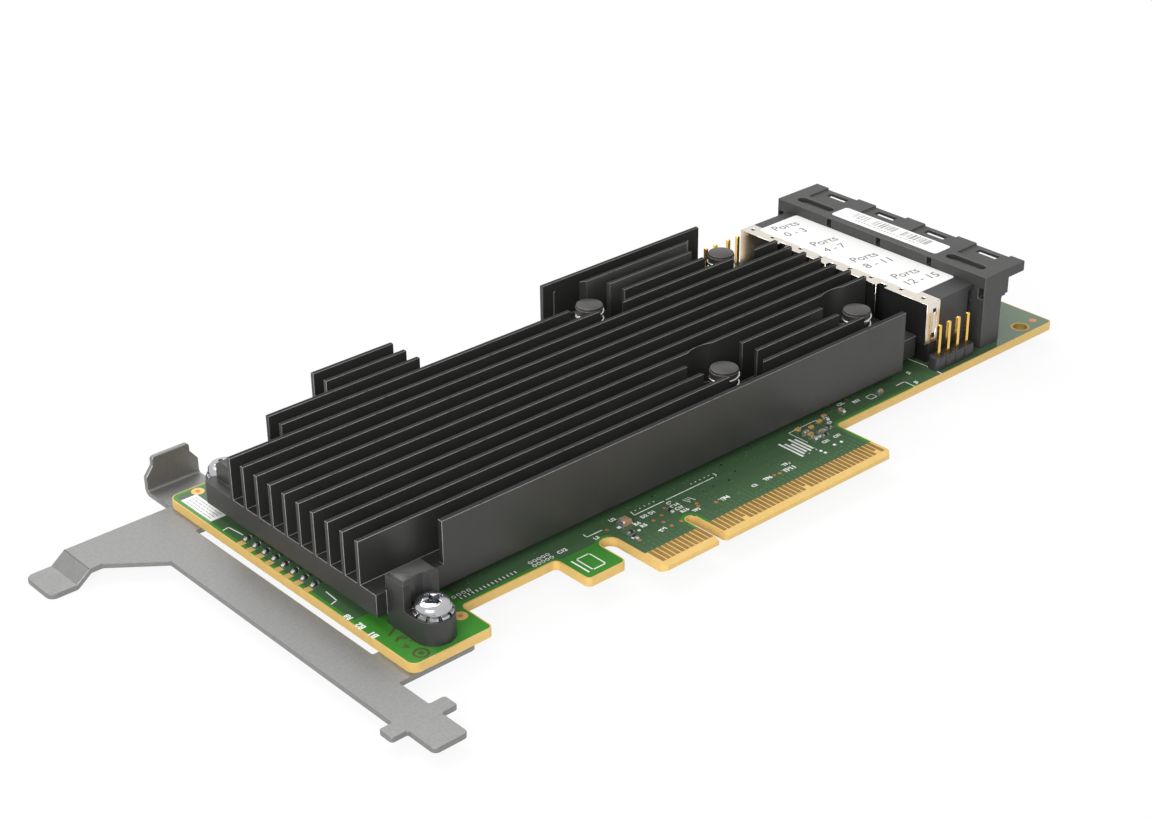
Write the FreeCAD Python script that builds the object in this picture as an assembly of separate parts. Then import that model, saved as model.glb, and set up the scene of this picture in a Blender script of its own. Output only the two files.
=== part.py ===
import FreeCAD, Part
import math
import os

os.makedirs("parts", exist_ok=True)

# All sizes are in millimetres. The working frame is the board's own: X from its left end, Y from the
# tips of the edge connector, Z up from the component face. Everything is moved to the row's frame at
# the end.

# ---- circuit board ---------------------------------------------------------------------------------
BOARD_LENGTH = 155.65
BOARD_WIDTH = 68.9
BOARD_THICK = 1.57
CORNER_R = 1.6            # free outer corners
INNER_R = 0.9             # concave corners of the front edge
FOOT_Y = 5.0              # front edge of the left foot and of the keying tab
FOOT_LENGTH = 14.8
RECESS_Y = 12.4           # front edge between and beside the tabs
TAB_X = 33.3
TAB_LENGTH = 7.8
SLOT_WIDTH = 3.15         # gap between keying tab and edge connector
SLOT_TOP = 12.0

# ---- edge connector --------------------------------------------------------------------------------
SHORT_SECTION = 11.65
KEY_WIDTH = 1.9
LONG_SECTION = 38.65
KEY_TOP = 8.0
BEVEL_LENGTH = 1.1
BEVEL_DEPTH = 0.4
TIP_CHAMFER = 0.8
PAD_PITCH = 1.0
PAD_WIDTH = 0.7
PAD_THICK = 0.05
PAD_END_MARGIN = 1.1      # section end to first pad centre
PAD_START = 0.05          # bevel to pad end
PAD_TOP_Y = 4.6
SHORT_PAD_CUT = 1.0       # presence pads stop short of the others
SHORT_PADS = (16, 30, 47)
PADS_BEFORE_KEY = 11
PADS_AFTER_KEY = 38
FIRST_PAD_AFTER_KEY = 0.6 # key edge to first pad centre

# ---- heatsink --------------------------------------------------------------------------------------
SINK_X0 = 2.1
SINK_X1 = 123.6
SINK_Y0 = 15.9
SINK_GAP = 1.8            # board to base plate
SINK_BASE = 3.9
SINK_TOP = 13.0
FIN_THICK = 0.78
FIN_PITCH = 3.65
FIN_COUNT = 14            # plain fins behind the front wall
WALL_THICK = 0.95
WALL_X0 = 14.5
SHORT_END = 117.3         # right end of the shorter fins
FIRST_LONG_RIGHT = 4      # plain fins that reach SINK_X1, counted from the front
LAST_LONG_RIGHT = 10
STEP_1_X = 14.3           # left end of the fins behind the lug
STEP_2_X = 28.2           # left end of the two rearmost fins
NOTCH_X0 = 44.8           # rear notch in the fin field
NOTCH_X1 = 78.2
FIRST_NOTCHED = 12        # first plain fin that the rear notch interrupts
FIRST_STEPPED = 11        # first plain fin that starts at STEP_1_X
FIRST_REAR = 13           # first plain fin that starts at STEP_2_X
BASE_MARGIN = 0.25        # base plate beyond the last fin
BASE_CORNER_R = 0.6

# ---- push pins and springs -------------------------------------------------------------------------
PIN_X0 = 81.6
PIN_X_SPACING = 33.0
PIN_Y0 = 24.8
PIN_Y_SPACING = 33.6
PIN_CAP_R = 2.3
PIN_CAP_THICK = 0.5
PIN_TOP = 11.5
PIN_COLLAR_R = 2.95
PIN_COLLAR_THICK = 0.3
PIN_SLEEVE_R = 2.15       # guides the spring
PIN_SLEEVE_LIFT = 1.2     # sleeve's end above the base plate
PIN_SHAFT_R = 1.4
PIN_CLEARANCE = 0.12
PIN_BARB_R = 1.95
PIN_BARB_LENGTH = 2.8
PIN_BARB_TIP_R = 0.8
PIN_SLOT = 0.7
POCKET_R = 6.45
SPRING_WIRE = 0.55
SPRING_FIT = 0.05         # between sleeve and coil
SPRING_TURNS = 3.0

# ---- lug screws and lock washers -------------------------------------------------------------------
SCREW_X = 7.25
SCREW_Y_FRONT = 9.25
SCREW_Y_REAR = 62.6
SCREW_SHANK_R = 1.5
SCREW_CLEARANCE = 0.1
SCREW_HEAD_R = 2.75
SCREW_HEAD_HEIGHT = 1.7
SCREW_CROSS_WIDTH = 0.75
SCREW_CROSS_SPAN = 3.0
SCREW_CROSS_DEPTH = 0.9
LUG_R = 3.25
LUG_SEAT = 4.0            # height of the screw seat above the board
NICHE_CLEARANCE = 0.2     # round the lock washer
BOSS_FACE = 2.6           # screw axis to the front of the boss
BOSS_DEPTH = 4.3
BOSS_TOP = 8.8
BOSS_CHAMFER = 0.5
WASHER_R = 3.05
WASHER_THICK = 0.5
WASHER_TEETH = 10
WASHER_TOOTH = 0.5

# ---- bracket ---------------------------------------------------------------------------------------
SHEET = 0.9
STRIP_OUTER_X = -8.95
STRIP_INNER_X = -1.0
TONGUE_INNER_X = -2.4
TONGUE_OUTER_X = -8.45
TONGUE_END_Y = -10.5
EAR_Y0 = -4.6
EAR_Y1 = -1.6
EAR_OUTER_X = -11.2
EAR_INNER_X = 0.4
TAB_NEAR_Y1 = 13.2        # inner edge of the front mounting tab
TAB_FAR_Y0 = 59.4         # inner edge of the rear mounting tab
TAB_REACH = 4.4           # screw axis to the tab's free edge
ARM_Y1 = 68.6
ARM_Y0 = 60.8
ARM_TAPER_Y = 54.4
ARM_TAPER_X = -17.0
JOGGLE_X = -19.3
JOGGLE_RUN = 2.5
JOGGLE_DROP = 1.9
JOGGLE_OUTER_R = 0.9
JOGGLE_INNER_R = 0.3
ARM_OVERLAP = 1.2         # arm sunk into the flat part before they are joined
ARM_END_R = 1.4
ARM_END_X = -26.4
LIP_Y = 75.0              # inner face of the upturned lip
LIP_X0 = -0.2
LIP_WIDTH = 9.9
LIP_TOP = 4.3
LIP_SHOULDER = 1.0
LIP_NECK = 1.4
LIP_NECK_RISE = 1.8
BEND_R = 0.5
COLLAR_R = 2.4
COLLAR_HEIGHT = 1.4

# ---- cable socket block ----------------------------------------------------------------------------
PORTS = 4
PORT_PITCH = 12.23
PORT_CENTRE_Y = 39.6
BLOCK_X0 = 124.0          # rear face of the metal shell
PORT_TO_BODY_END = 4.55   # centre of an end port to the end of shell and body
BLOCK_TOP = 12.0
SHELL_SHEET = 0.4
SHELL_DEPTH = 3.6
SHELL_BOTTOM = 4.1
SHELL_SLOT = 1.85         # gap between the rear panels of neighbouring ports
SHELL_SLOT_DEPTH = 1.2
SHELL_SLOT_SHIFT = 0.35
SHELL_TOP_HOLES = (-2.1, 3.0)   # from each port's centre
SHELL_TOP_HOLE_IN = 1.75
SHELL_TOP_HOLE = 0.75
SHELL_END_HOLE_IN = 2.1
SHELL_END_HOLE = 0.9
SHELL_END_HOLE_LOW = 0.8  # lower hole above the shell's edge
SHELL_END_HOLE_HIGH = 2.2 # upper hole below the shell's top
SHELL_SLIT_IN = 1.3       # slit beside the coined tongue of an end flange
SHELL_SLIT = 0.2
SHELL_TONGUE = 1.3
SHELL_TONGUE_DEPTH = 0.15
BODY_FIT = 0.05
BODY_RECESS = 0.8         # body behind the shell's rear panels
END_SLOT = 1.4            # upright slot in the body beside the housing
END_SLOT_DEPTH = 1.5
END_SLOT_DROP = 0.9
TOP_SLOT = (3.4, 0.5, 0.5)      # length, width and depth between ports
HOUSING_X0 = 136.8
PORT_TO_HOUSING_END = 7.05
HOUSING_TOP = 14.05
ROOF_THICK = 1.98
ROOF_DEPTH = 11.1
WALL_DEPTH = 6.8
FOOT_DEPTH = 5.1
FOOT_HEIGHT = 8.4
PARTITION = 1.2
FLOOR = 1.2
HOUSING_BACK = 0.8        # rear frame around each opening
TONGUE_FIT = 0.05         # round each tongue in the housing's rear wall
WINDOW_X_IN = 8.5         # from the housing's rear face
WINDOW_DEPTH = 1.6
WINDOW_WIDTH = 4.6
PANEL_X_IN = 5.3
PANEL_WIDTH = 7.8
PANEL_DROP = 0.4
PANEL_ROOF = 0.7          # roof left under a panel
POCKET_X_IN = 2.0
POCKET_DEPTH_X = 2.1
POCKET_WIDTH = 8.6
POCKET_SINK = 1.1
REAR_NOTCH_WIDTH = 1.1
REAR_NOTCH_DEPTH = 1.6
REAR_NOTCH_DROP = 0.35    # notch's upper end below the roof face
REAR_NOTCH_HEIGHT = 1.6
END_NOTCH_IN = 0.35       # notch in the rear of each end wall
END_NOTCH_WIDTH = 1.1
END_NOTCH_DROP = 2.4
END_NOTCH_HEIGHT = 2.0
END_NOTCH_DEPTH = 1.6
LEG_NOTCH = (1.6, 0.5, 0.7)     # length, depth and height above the foot
TONGUES = (3.1, 7.7)      # underside heights of the two contact tongues
TONGUE_THICK = 1.1
TONGUE_WIDTH = 8.2
TONGUE_REACH = 5.2
CONTACTS = 9
CONTACT_PITCH = 0.75
CONTACT_WIDTH = 0.35
CONTACT_THICK = 0.08
CONTACT_TIP_GAP = 0.35
CONTACT_LENGTH = 3.6
TAIL_START = 1.2          # first row in front of the shell
TAIL_ROWS = 3
TAILS_PER_ROW = 5
TAIL_ROW_PITCH = 2.6
TAIL_PITCH = 2.1
TAIL_SIZE = 0.45
TAIL_LENGTH = 0.7
LABEL_THICK = 0.1
PORT_LABEL_X = 126.4
PORT_LABEL_DEPTH = 10.3
PORT_LABEL_LENGTH = 39.0
PORT_LABEL_CENTRE_Y = 40.5
CODE_LABEL_X = 138.3
CODE_LABEL_DEPTH = 4.6
CODE_LABEL_LENGTH = 25.6
CODE_LABEL_CENTRE_Y = 39.9
BOARD_LABEL_X = 0.85
BOARD_LABEL_WIDTH = 2.9
BOARD_LABEL_Y0 = 57.75
BOARD_LABEL_LENGTH = 8.7

# ---- pin headers -----------------------------------------------------------------------------------
HEADER_PITCH = 2.54
HEADER_BASE_WIDTH = 2.4
HEADER_BASE_HEIGHT = 2.54
HEADER_GROOVE = 0.6       # width of the V between two cells
HEADER_GROOVE_DEPTH = 0.6
HEADER_PIN = 0.64
HEADER_TOP = 8.54
HEADER_TAIL = 1.2         # pin below the board
HEADER_PIN_CHAMFER = 0.16
HEADER_FIT = 0.02
FRONT_HEADER_X = 125.22
FRONT_HEADER_GAP = 0.85   # socket body to header
FRONT_HEADER_PINS = 4
REAR_HEADER_GAP = 0.1     # heatsink to the first rear header
REAR_HEADER_STEP = 6.0    # first pin to first pin
REAR_HEADER_OFF = 2.7     # socket body to header, along Y
REAR_HEADER_PINS = 2
FILLET_R = 0.75           # solder fillet around each pin tail
FILLET_TIP_R = 0.45
FILLET_HEIGHT = 0.7

# ---- mounting hole -----------------------------------------------------------------------------------
CORNER_HOLE_X = 149.3
CORNER_HOLE_Y = 14.9
CORNER_HOLE_R = 1.3

# ---- chips and small parts ---------------------------------------------------------------------------
CONTROLLER_SIZE = 29.0
CONTROLLER_HEIGHT = 1.62
CONTROLLER_LID_INSET = 2.2
CONTROLLER_SUBSTRATE = 1.05
BALL_GAP = 0.35
BALL_INSET = 1.0
MEMORY_XS = (20.0, 33.0, 46.0, 59.0, 72.0)
MEMORY_Y = 36.5
MEMORY_SIZE = (9.0, 13.0)
MEMORY_HEIGHT = 1.2
FLASH_PLACE = (30.0, 53.0)
FLASH_SIZE = (12.0, 10.0)
FLASH_HEIGHT = 1.3
CRYSTAL_PLACE = (66.0, 50.0)
CRYSTAL_SIZE = (5.0, 3.2)
CRYSTAL_HEIGHT = 1.0
INDUCTOR_PLACES = ((62.0, 61.5), (70.0, 61.5), (53.5, 61.5))
INDUCTOR_SIZE = 5.6
INDUCTOR_HEIGHT = 3.0
INDUCTOR_CHAMFER = 0.8
REGULATOR_PLACES = ((58.0, 66.0), (66.0, 66.4), (74.0, 66.0))
REGULATOR_SIZE = 3.0
REGULATOR_HEIGHT = 0.9
BLOCK_CAPACITOR = (48.1, 13.1)
BLOCK_CAPACITOR_SIZE = (1.7, 1.6)
BLOCK_CAPACITOR_HEIGHT = 1.05
CHIP_CAP = 0.28           # end cap of a chip part
CHIP_WRAP = 0.04          # by which the caps stand proud of the body
CAPACITOR_CHIP = (1.1, 0.6, 0.55)        # length, width and height
RESISTOR_CHIP = (1.1, 0.6, 0.35)
LARGE_CHIP = (1.6, 0.85, 0.75)
CAPACITORS_X = ((90.5, 14.0), (92.5, 12.5), (110.8, 15.4))
CAPACITORS_Y = ((96.6, 15.2), (100.7, 15.2), (90.1, 11.9))
RESISTORS_X = ((94.6, 12.8), (92.3, 11.3), (47.1, 10.6))
RESISTORS_Y = ((56.1, 11.2), (46.6, 9.2))
EDGE_ROW_X = 2.3
EDGE_ROW_Y0 = 31.6
EDGE_ROW_PITCH = 2.54
EDGE_ROW_COUNT = 8
UNDER_CAP_COUNT = (5, 4)
UNDER_CAP_PITCH = 3.9
UNDER_REGULATOR_PLACES = ((60.0, 52.0), (60.0, 43.0), (60.0, 34.0))
UNDER_REGULATOR_SIZE = 5.0
UNDER_REGULATOR_HEIGHT = 1.0
UNDER_TANTALUM_PLACES = ((49.0, 52.0), (49.0, 43.0), (49.0, 34.0), (146.0, 33.0))
UNDER_TANTALUM_SIZE = (7.3, 4.3)
UNDER_TANTALUM_HEIGHT = 1.9
UNDER_DRIVER_PLACES = ((24.0, 30.0), (24.0, 44.0))
UNDER_DRIVER_SIZE = (5.0, 6.2)
UNDER_DRIVER_HEIGHT = 1.2

# ---- values that follow from the sizes above ---------------------------------------------------------
UNDERSIDE = -BOARD_THICK
TAB_X1 = TAB_X + TAB_LENGTH
CONN_X0 = TAB_X1 + SLOT_WIDTH
KEY_X0 = CONN_X0 + SHORT_SECTION
KEY_X1 = KEY_X0 + KEY_WIDTH
CONN_X1 = KEY_X1 + LONG_SECTION
BASE_TOP = SINK_GAP + SINK_BASE
COLLAR_UNDER = PIN_TOP - PIN_CAP_THICK - PIN_COLLAR_THICK
SPRING_R = PIN_SLEEVE_R + SPRING_FIT + SPRING_WIRE / 2
WALL_Y = SINK_Y0 + WALL_THICK / 2
SCREW_YS = (SCREW_Y_FRONT, SCREW_Y_REAR)
PIN_PLACES = [(PIN_X0 + i * PIN_X_SPACING, PIN_Y0 + j * PIN_Y_SPACING) for i in (0, 1) for j in (0, 1)]
REAR_HEADER_X0 = SHORT_END + REAR_HEADER_GAP + HEADER_PITCH / 2
REAR_HEADER_XS = (REAR_HEADER_X0, REAR_HEADER_X0 + REAR_HEADER_STEP)
CHIP_X = PIN_X0 + PIN_X_SPACING / 2
CHIP_Y = PIN_Y0 + PIN_Y_SPACING / 2
PORT_YS = [PORT_CENTRE_Y + (i - (PORTS - 1) / 2) * PORT_PITCH for i in range(PORTS)]
PORT_GAPS = [(PORT_YS[i] + PORT_YS[i + 1]) / 2 for i in range(PORTS - 1)]
BLOCK_Y0 = PORT_YS[0] - PORT_TO_BODY_END
BLOCK_Y1 = PORT_YS[-1] + PORT_TO_BODY_END
SHELL_X1 = BLOCK_X0 + SHELL_DEPTH
HOUSING_Y0 = PORT_YS[0] - PORT_TO_HOUSING_END
HOUSING_Y1 = PORT_YS[-1] + PORT_TO_HOUSING_END
ROOF_UNDER = HOUSING_TOP - ROOF_THICK
FRONT_HEADER_Y = BLOCK_Y0 - FRONT_HEADER_GAP - HEADER_BASE_WIDTH / 2
REAR_HEADER_Y = BLOCK_Y1 + REAR_HEADER_OFF + HEADER_BASE_WIDTH / 2
SHEET_UNDER = UNDERSIDE - SHEET
BARB_TIP_Z = UNDERSIDE - PIN_BARB_LENGTH


def box(x0, y0, z0, x1, y1, z1):
    return Part.makeBox(x1 - x0, y1 - y0, z1 - z0, FreeCAD.Vector(x0, y0, z0))


def centred_box(x, y, z0, size_x, size_y, height):
    return box(x - size_x / 2, y - size_y / 2, z0, x + size_x / 2, y + size_y / 2, z0 + height)


def rod(x, y, z0, z1, radius):
    return Part.makeCylinder(radius, z1 - z0, FreeCAD.Vector(x, y, z0))


def rounded_face(corners):
    """Flat face in the XY plane from corners (x, y, radius); a radius of 0 keeps a corner sharp."""
    points = [FreeCAD.Vector(x, y, 0) for x, y, _ in corners]
    edges = []
    last = None
    first = None
    for i, (_, _, radius) in enumerate(corners):
        here = points[i]
        to_back = (points[i - 1] - here).normalize()
        to_next = (points[(i + 1) % len(points)] - here).normalize()
        if radius > 0:
            half = to_back.getAngle(to_next) / 2
            reach = radius / math.tan(half)
            start = here + to_back * reach
            end = here + to_next * reach
            bisector = (to_back + to_next).normalize()
            middle = here + bisector * (radius / math.sin(half) - radius)
            arc = Part.Arc(start, middle, end).toShape()
        else:
            start = here
            end = here
            arc = None
        if last is not None and last.distanceToPoint(start) > 1e-6:
            edges.append(Part.makeLine(last, start))
        if arc is not None:
            edges.append(arc)
        if first is None:
            first = start
        last = end
    if last.distanceToPoint(first) > 1e-6:
        edges.append(Part.makeLine(last, first))
    return Part.Face(Part.Wire(edges))


def plate(corners, z0, z1):
    face = rounded_face(corners)
    face.translate(FreeCAD.Vector(0, 0, z0))
    return face.extrude(FreeCAD.Vector(0, 0, z1 - z0))


def rectangle(x0, y0, x1, y1, radius=0):
    return [(x0, y0, radius), (x1, y0, radius), (x1, y1, radius), (x0, y1, radius)]


def side_profile(corners, y0, y1):
    """Solid whose section is drawn as (x, z, radius) and which runs from y0 to y1."""
    face = rounded_face(corners)
    face.rotate(FreeCAD.Vector(0, 0, 0), FreeCAD.Vector(1, 0, 0), 90)
    face.translate(FreeCAD.Vector(0, y0, 0))
    return face.extrude(FreeCAD.Vector(0, y1 - y0, 0))


def end_profile(corners, x0, x1):
    """Solid whose section is drawn as (y, z, radius) and which runs from x0 to x1."""
    face = rounded_face(corners)
    face.rotate(FreeCAD.Vector(0, 0, 0), FreeCAD.Vector(1, 1, 1), 120)
    face.translate(FreeCAD.Vector(x0, 0, 0))
    return face.extrude(FreeCAD.Vector(x1 - x0, 0, 0))


def turned(points, x, y):
    """Solid of revolution about the vertical line through (x, y) from (radius, z) points."""
    outline = [FreeCAD.Vector(r, 0, z) for r, z in points]
    face = Part.Face(Part.makePolygon(outline + [outline[0]]))
    solid = face.revolve(FreeCAD.Vector(0, 0, 0), FreeCAD.Vector(0, 0, 1), 360)
    solid.translate(FreeCAD.Vector(x, y, 0))
    return solid


def fused(shapes):
    return shapes[0].multiFuse(shapes[1:]).removeSplitter()


# ---- circuit board -----------------------------------------------------------------------------------
def header_places():
    places = [(FRONT_HEADER_X + i * HEADER_PITCH, FRONT_HEADER_Y) for i in range(FRONT_HEADER_PINS)]
    for x in REAR_HEADER_XS:
        places += [(x + i * HEADER_PITCH, REAR_HEADER_Y) for i in range(REAR_HEADER_PINS)]
    return places


def make_board():
    slot_r = SLOT_WIDTH / 2 - 0.01
    key_r = KEY_WIDTH / 2 - 0.01
    outline = [
        (0, FOOT_Y, CORNER_R),
        (FOOT_LENGTH, FOOT_Y, INNER_R),
        (FOOT_LENGTH, RECESS_Y, INNER_R),
        (TAB_X, RECESS_Y, INNER_R),
        (TAB_X, FOOT_Y, INNER_R),
        (TAB_X1, FOOT_Y, INNER_R),
        (TAB_X1, SLOT_TOP, slot_r),
        (CONN_X0, SLOT_TOP, slot_r),
        (CONN_X0, TIP_CHAMFER, 0),
        (CONN_X0 + TIP_CHAMFER, 0, 0),
        (KEY_X0, 0, 0),
        (KEY_X0, KEY_TOP, key_r),
        (KEY_X1, KEY_TOP, key_r),
        (KEY_X1, 0, 0),
        (CONN_X1 - TIP_CHAMFER, 0, 0),
        (CONN_X1, TIP_CHAMFER, 0),
        (CONN_X1, RECESS_Y, INNER_R),
        (BOARD_LENGTH, RECESS_Y, INNER_R),
        (BOARD_LENGTH, BOARD_WIDTH, CORNER_R),
        (0, BOARD_WIDTH, CORNER_R),
    ]
    board = plate(outline, UNDERSIDE, 0)
    cuts = [rod(SCREW_X, y, UNDERSIDE - 1, 1, SCREW_SHANK_R + SCREW_CLEARANCE) for y in SCREW_YS]
    cuts += [rod(x, y, UNDERSIDE - 1, 1, PIN_SHAFT_R + PIN_CLEARANCE) for x, y in PIN_PLACES]
    cuts.append(rod(CORNER_HOLE_X, CORNER_HOLE_Y, UNDERSIDE - 1, 1, CORNER_HOLE_R))
    hole = HEADER_PIN / 2 * math.sqrt(2) + HEADER_FIT
    cuts += [rod(x, y, UNDERSIDE - 1, 1, hole) for x, y in header_places()]
    for sign, face_z in ((1, 0), (-1, UNDERSIDE)):
        wedge = end_profile([(-1, face_z + sign, 0), (-1, face_z - sign * BEVEL_DEPTH * 2, 0),
                             (0, face_z - sign * BEVEL_DEPTH, 0), (BEVEL_LENGTH, face_z, 0),
                             (BEVEL_LENGTH, face_z + sign, 0)], CONN_X0 - 1, CONN_X1 + 1)
        cuts.append(wedge)
    return board.cut(cuts[0].multiFuse(cuts[1:]))


def make_contacts(z0):
    shapes = []
    start = BEVEL_LENGTH + PAD_START
    centres = [CONN_X0 + PAD_END_MARGIN + i * PAD_PITCH for i in range(PADS_BEFORE_KEY)]
    centres += [KEY_X1 + FIRST_PAD_AFTER_KEY + i * PAD_PITCH for i in range(PADS_AFTER_KEY)]
    for i, x in enumerate(centres):
        y0 = start + (SHORT_PAD_CUT if i in SHORT_PADS else 0)
        shapes.append(box(x - PAD_WIDTH / 2, y0, z0, x + PAD_WIDTH / 2, PAD_TOP_Y, z0 + PAD_THICK))
    return Part.makeCompound(shapes)


# ---- heatsink ----------------------------------------------------------------------------------------
def fin_y(number):
    """Centre of plain fin number 1 to FIN_COUNT, counted from the front wall."""
    return WALL_Y + number * FIN_PITCH


def edge_of(number):
    """Rear edge of the base plate where fin `number` is the last one on it."""
    return fin_y(number) + FIN_THICK / 2 + BASE_MARGIN


def fin_runs(number):
    """Start and end along X of each run of one plain fin."""
    start = SINK_X0
    if number >= FIRST_STEPPED:
        start = STEP_1_X
    if number >= FIRST_REAR:
        start = STEP_2_X
    end = SINK_X1 if FIRST_LONG_RIGHT <= number <= LAST_LONG_RIGHT else SHORT_END
    if number >= FIRST_NOTCHED:
        return [(start, NOTCH_X0), (NOTCH_X1, end)]
    return [(start, end)]


def make_lug(y, inward):
    """Foot for one screw and the taller boss that joins it to the base plate on its inward side."""
    face = y + inward * BOSS_FACE
    back = face + inward * BOSS_DEPTH
    x0 = SCREW_X - LUG_R
    x1 = SCREW_X + LUG_R
    boss = box(x0, min(face, back), 0, x1, max(face, back), BOSS_TOP)
    rim = [e for e in boss.Edges if e.BoundBox.ZMin > BOSS_TOP - 0.01]
    boss = boss.makeChamfer(BOSS_CHAMFER, rim)
    seat = box(x0, min(y, face), 0, x1, max(y, face), LUG_SEAT)
    return [boss, seat, rod(SCREW_X, y, 0, LUG_SEAT, LUG_R)]


def make_heatsink():
    r = BASE_CORNER_R
    front_right_y = fin_y(1) - FIN_PITCH / 2
    outline = [
        (SINK_X0, SINK_Y0, 0),
        (SHORT_END, SINK_Y0, 0),
        (SHORT_END, front_right_y, r),
        (SINK_X1, front_right_y, r),
        (SINK_X1, edge_of(LAST_LONG_RIGHT), r),
        (SHORT_END, edge_of(LAST_LONG_RIGHT), r),
        (SHORT_END, edge_of(FIN_COUNT), r),
        (NOTCH_X1, edge_of(FIN_COUNT), r),
        (NOTCH_X1, edge_of(FIRST_NOTCHED - 1), r),
        (NOTCH_X0, edge_of(FIRST_NOTCHED - 1), r),
        (NOTCH_X0, edge_of(FIN_COUNT), r),
        (STEP_2_X, edge_of(FIN_COUNT), r),
        (STEP_2_X, edge_of(FIRST_REAR - 1), r),
        (SINK_X0, edge_of(FIRST_REAR - 1), r),
    ]
    solids = [plate(outline, SINK_GAP, BASE_TOP)]
    solids += make_lug(SCREW_Y_FRONT, 1) + make_lug(SCREW_Y_REAR, -1)
    fins = [box(WALL_X0, SINK_Y0, BASE_TOP - 0.1, SHORT_END, SINK_Y0 + WALL_THICK, SINK_TOP)]
    for number in range(1, FIN_COUNT + 1):
        y = fin_y(number)
        for start, end in fin_runs(number):
            fins.append(box(start, y - FIN_THICK / 2, BASE_TOP - 0.1, end, y + FIN_THICK / 2, SINK_TOP))
    # each pocket is round towards the outside and runs straight in to the nearest long fin
    pockets = []
    inner_ys = (fin_y(FIRST_LONG_RIGHT) - FIN_THICK / 2, fin_y(LAST_LONG_RIGHT) + FIN_THICK / 2)
    for i, (x, y) in enumerate(PIN_PLACES):
        inner_y = inner_ys[i % 2]
        pockets.append(rod(x, y, BASE_TOP - 0.1, SINK_TOP + 1, POCKET_R))
        pockets.append(box(x - POCKET_R, min(y, inner_y), BASE_TOP - 0.1,
                           x + POCKET_R, max(y, inner_y), SINK_TOP + 1))
    fin_field = Part.makeCompound(fins).cut(pockets[0].multiFuse(pockets[1:]))
    sink = fused(solids + fin_field.Solids)
    cuts = [rod(x, y, SINK_GAP - 1, BASE_TOP + 1, PIN_SHAFT_R + PIN_CLEARANCE) for x, y in PIN_PLACES]
    for y in SCREW_YS:
        cuts.append(rod(SCREW_X, y, -1, BASE_TOP + 1, SCREW_SHANK_R + SCREW_CLEARANCE))
        cuts.append(rod(SCREW_X, y, LUG_SEAT, BOSS_TOP + 1, WASHER_R + NICHE_CLEARANCE))
    return sink.cut(cuts[0].multiFuse(cuts[1:]))


# ---- push pins, springs, screws, washers -------------------------------------------------------------
def make_push_pin(x, y):
    sleeve_end = BASE_TOP + PIN_SLEEVE_LIFT
    pin = turned([
        (0, PIN_TOP),
        (PIN_CAP_R, PIN_TOP),
        (PIN_CAP_R, PIN_TOP - PIN_CAP_THICK),
        (PIN_COLLAR_R, PIN_TOP - PIN_CAP_THICK),
        (PIN_COLLAR_R, COLLAR_UNDER),
        (PIN_SLEEVE_R, COLLAR_UNDER),
        (PIN_SLEEVE_R, sleeve_end),
        (PIN_SHAFT_R, sleeve_end),
        (PIN_SHAFT_R, UNDERSIDE),
        (PIN_BARB_R, UNDERSIDE),
        (PIN_BARB_TIP_R, BARB_TIP_Z),
        (0, BARB_TIP_Z),
    ], x, y)
    slot = centred_box(x, y, BARB_TIP_Z - 1, PIN_SLOT, PIN_BARB_R * 3, PIN_BARB_LENGTH + BOARD_THICK + 1)
    return pin.cut(slot)


def make_spring(x, y):
    """Coil of square wire between the base plate and the pin's collar, its ends ground flat."""
    half = SPRING_WIRE / 2
    sink = SPRING_WIRE * 0.2
    height = COLLAR_UNDER - BASE_TOP - SPRING_WIRE + 2 * sink
    corners = [FreeCAD.Vector(SPRING_R + dx * half, 0, dz * half)
               for dx, dz in ((-1, -1), (1, -1), (1, 1), (-1, 1))]
    section = Part.Wire(Part.makePolygon(corners + [corners[0]]))
    helix = Part.makeHelix(height / SPRING_TURNS, height, SPRING_R)
    coil = Part.Wire(helix).makePipeShell([section], True, True)
    coil.translate(FreeCAD.Vector(x, y, BASE_TOP + half - sink))
    return coil.common(rod(x, y, BASE_TOP, COLLAR_UNDER, SPRING_R + SPRING_WIRE))


def make_screw(y):
    seat = LUG_SEAT + WASHER_THICK
    tip = SHEET_UNDER - COLLAR_HEIGHT
    shoulder = seat + SCREW_HEAD_HEIGHT * 0.55
    screw = turned([
        (0, seat + SCREW_HEAD_HEIGHT),
        (SCREW_HEAD_R * 0.55, seat + SCREW_HEAD_HEIGHT),
        (SCREW_HEAD_R * 0.86, seat + SCREW_HEAD_HEIGHT * 0.85),
        (SCREW_HEAD_R, shoulder),
        (SCREW_HEAD_R, seat),
        (SCREW_SHANK_R, seat),
        (SCREW_SHANK_R, tip + 0.3),
        (SCREW_SHANK_R - 0.3, tip),
        (0, tip),
    ], SCREW_X, y)
    top = seat + SCREW_HEAD_HEIGHT
    arm_x = centred_box(SCREW_X, y, top - SCREW_CROSS_DEPTH, SCREW_CROSS_SPAN, SCREW_CROSS_WIDTH, 1)
    arm_y = centred_box(SCREW_X, y, top - SCREW_CROSS_DEPTH, SCREW_CROSS_WIDTH, SCREW_CROSS_SPAN, 1)
    return screw.cut(arm_x.fuse(arm_y))


def make_washer(y):
    ring = rod(SCREW_X, y, LUG_SEAT, LUG_SEAT + WASHER_THICK, WASHER_R)
    cuts = [rod(SCREW_X, y, LUG_SEAT - 1, LUG_SEAT + 1, SCREW_SHANK_R + SCREW_CLEARANCE)]
    for i in range(WASHER_TEETH):
        angle = 360.0 * i / WASHER_TEETH
        gap = box(SCREW_X + WASHER_R - WASHER_TOOTH, y - 0.28, LUG_SEAT - 1,
                  SCREW_X + WASHER_R + 1, y + 0.28, LUG_SEAT + 1)
        gap.rotate(FreeCAD.Vector(SCREW_X, y, 0), FreeCAD.Vector(0, 0, 1), angle)
        cuts.append(gap)
    return ring.cut(cuts[0].multiFuse(cuts[1:]))


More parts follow.
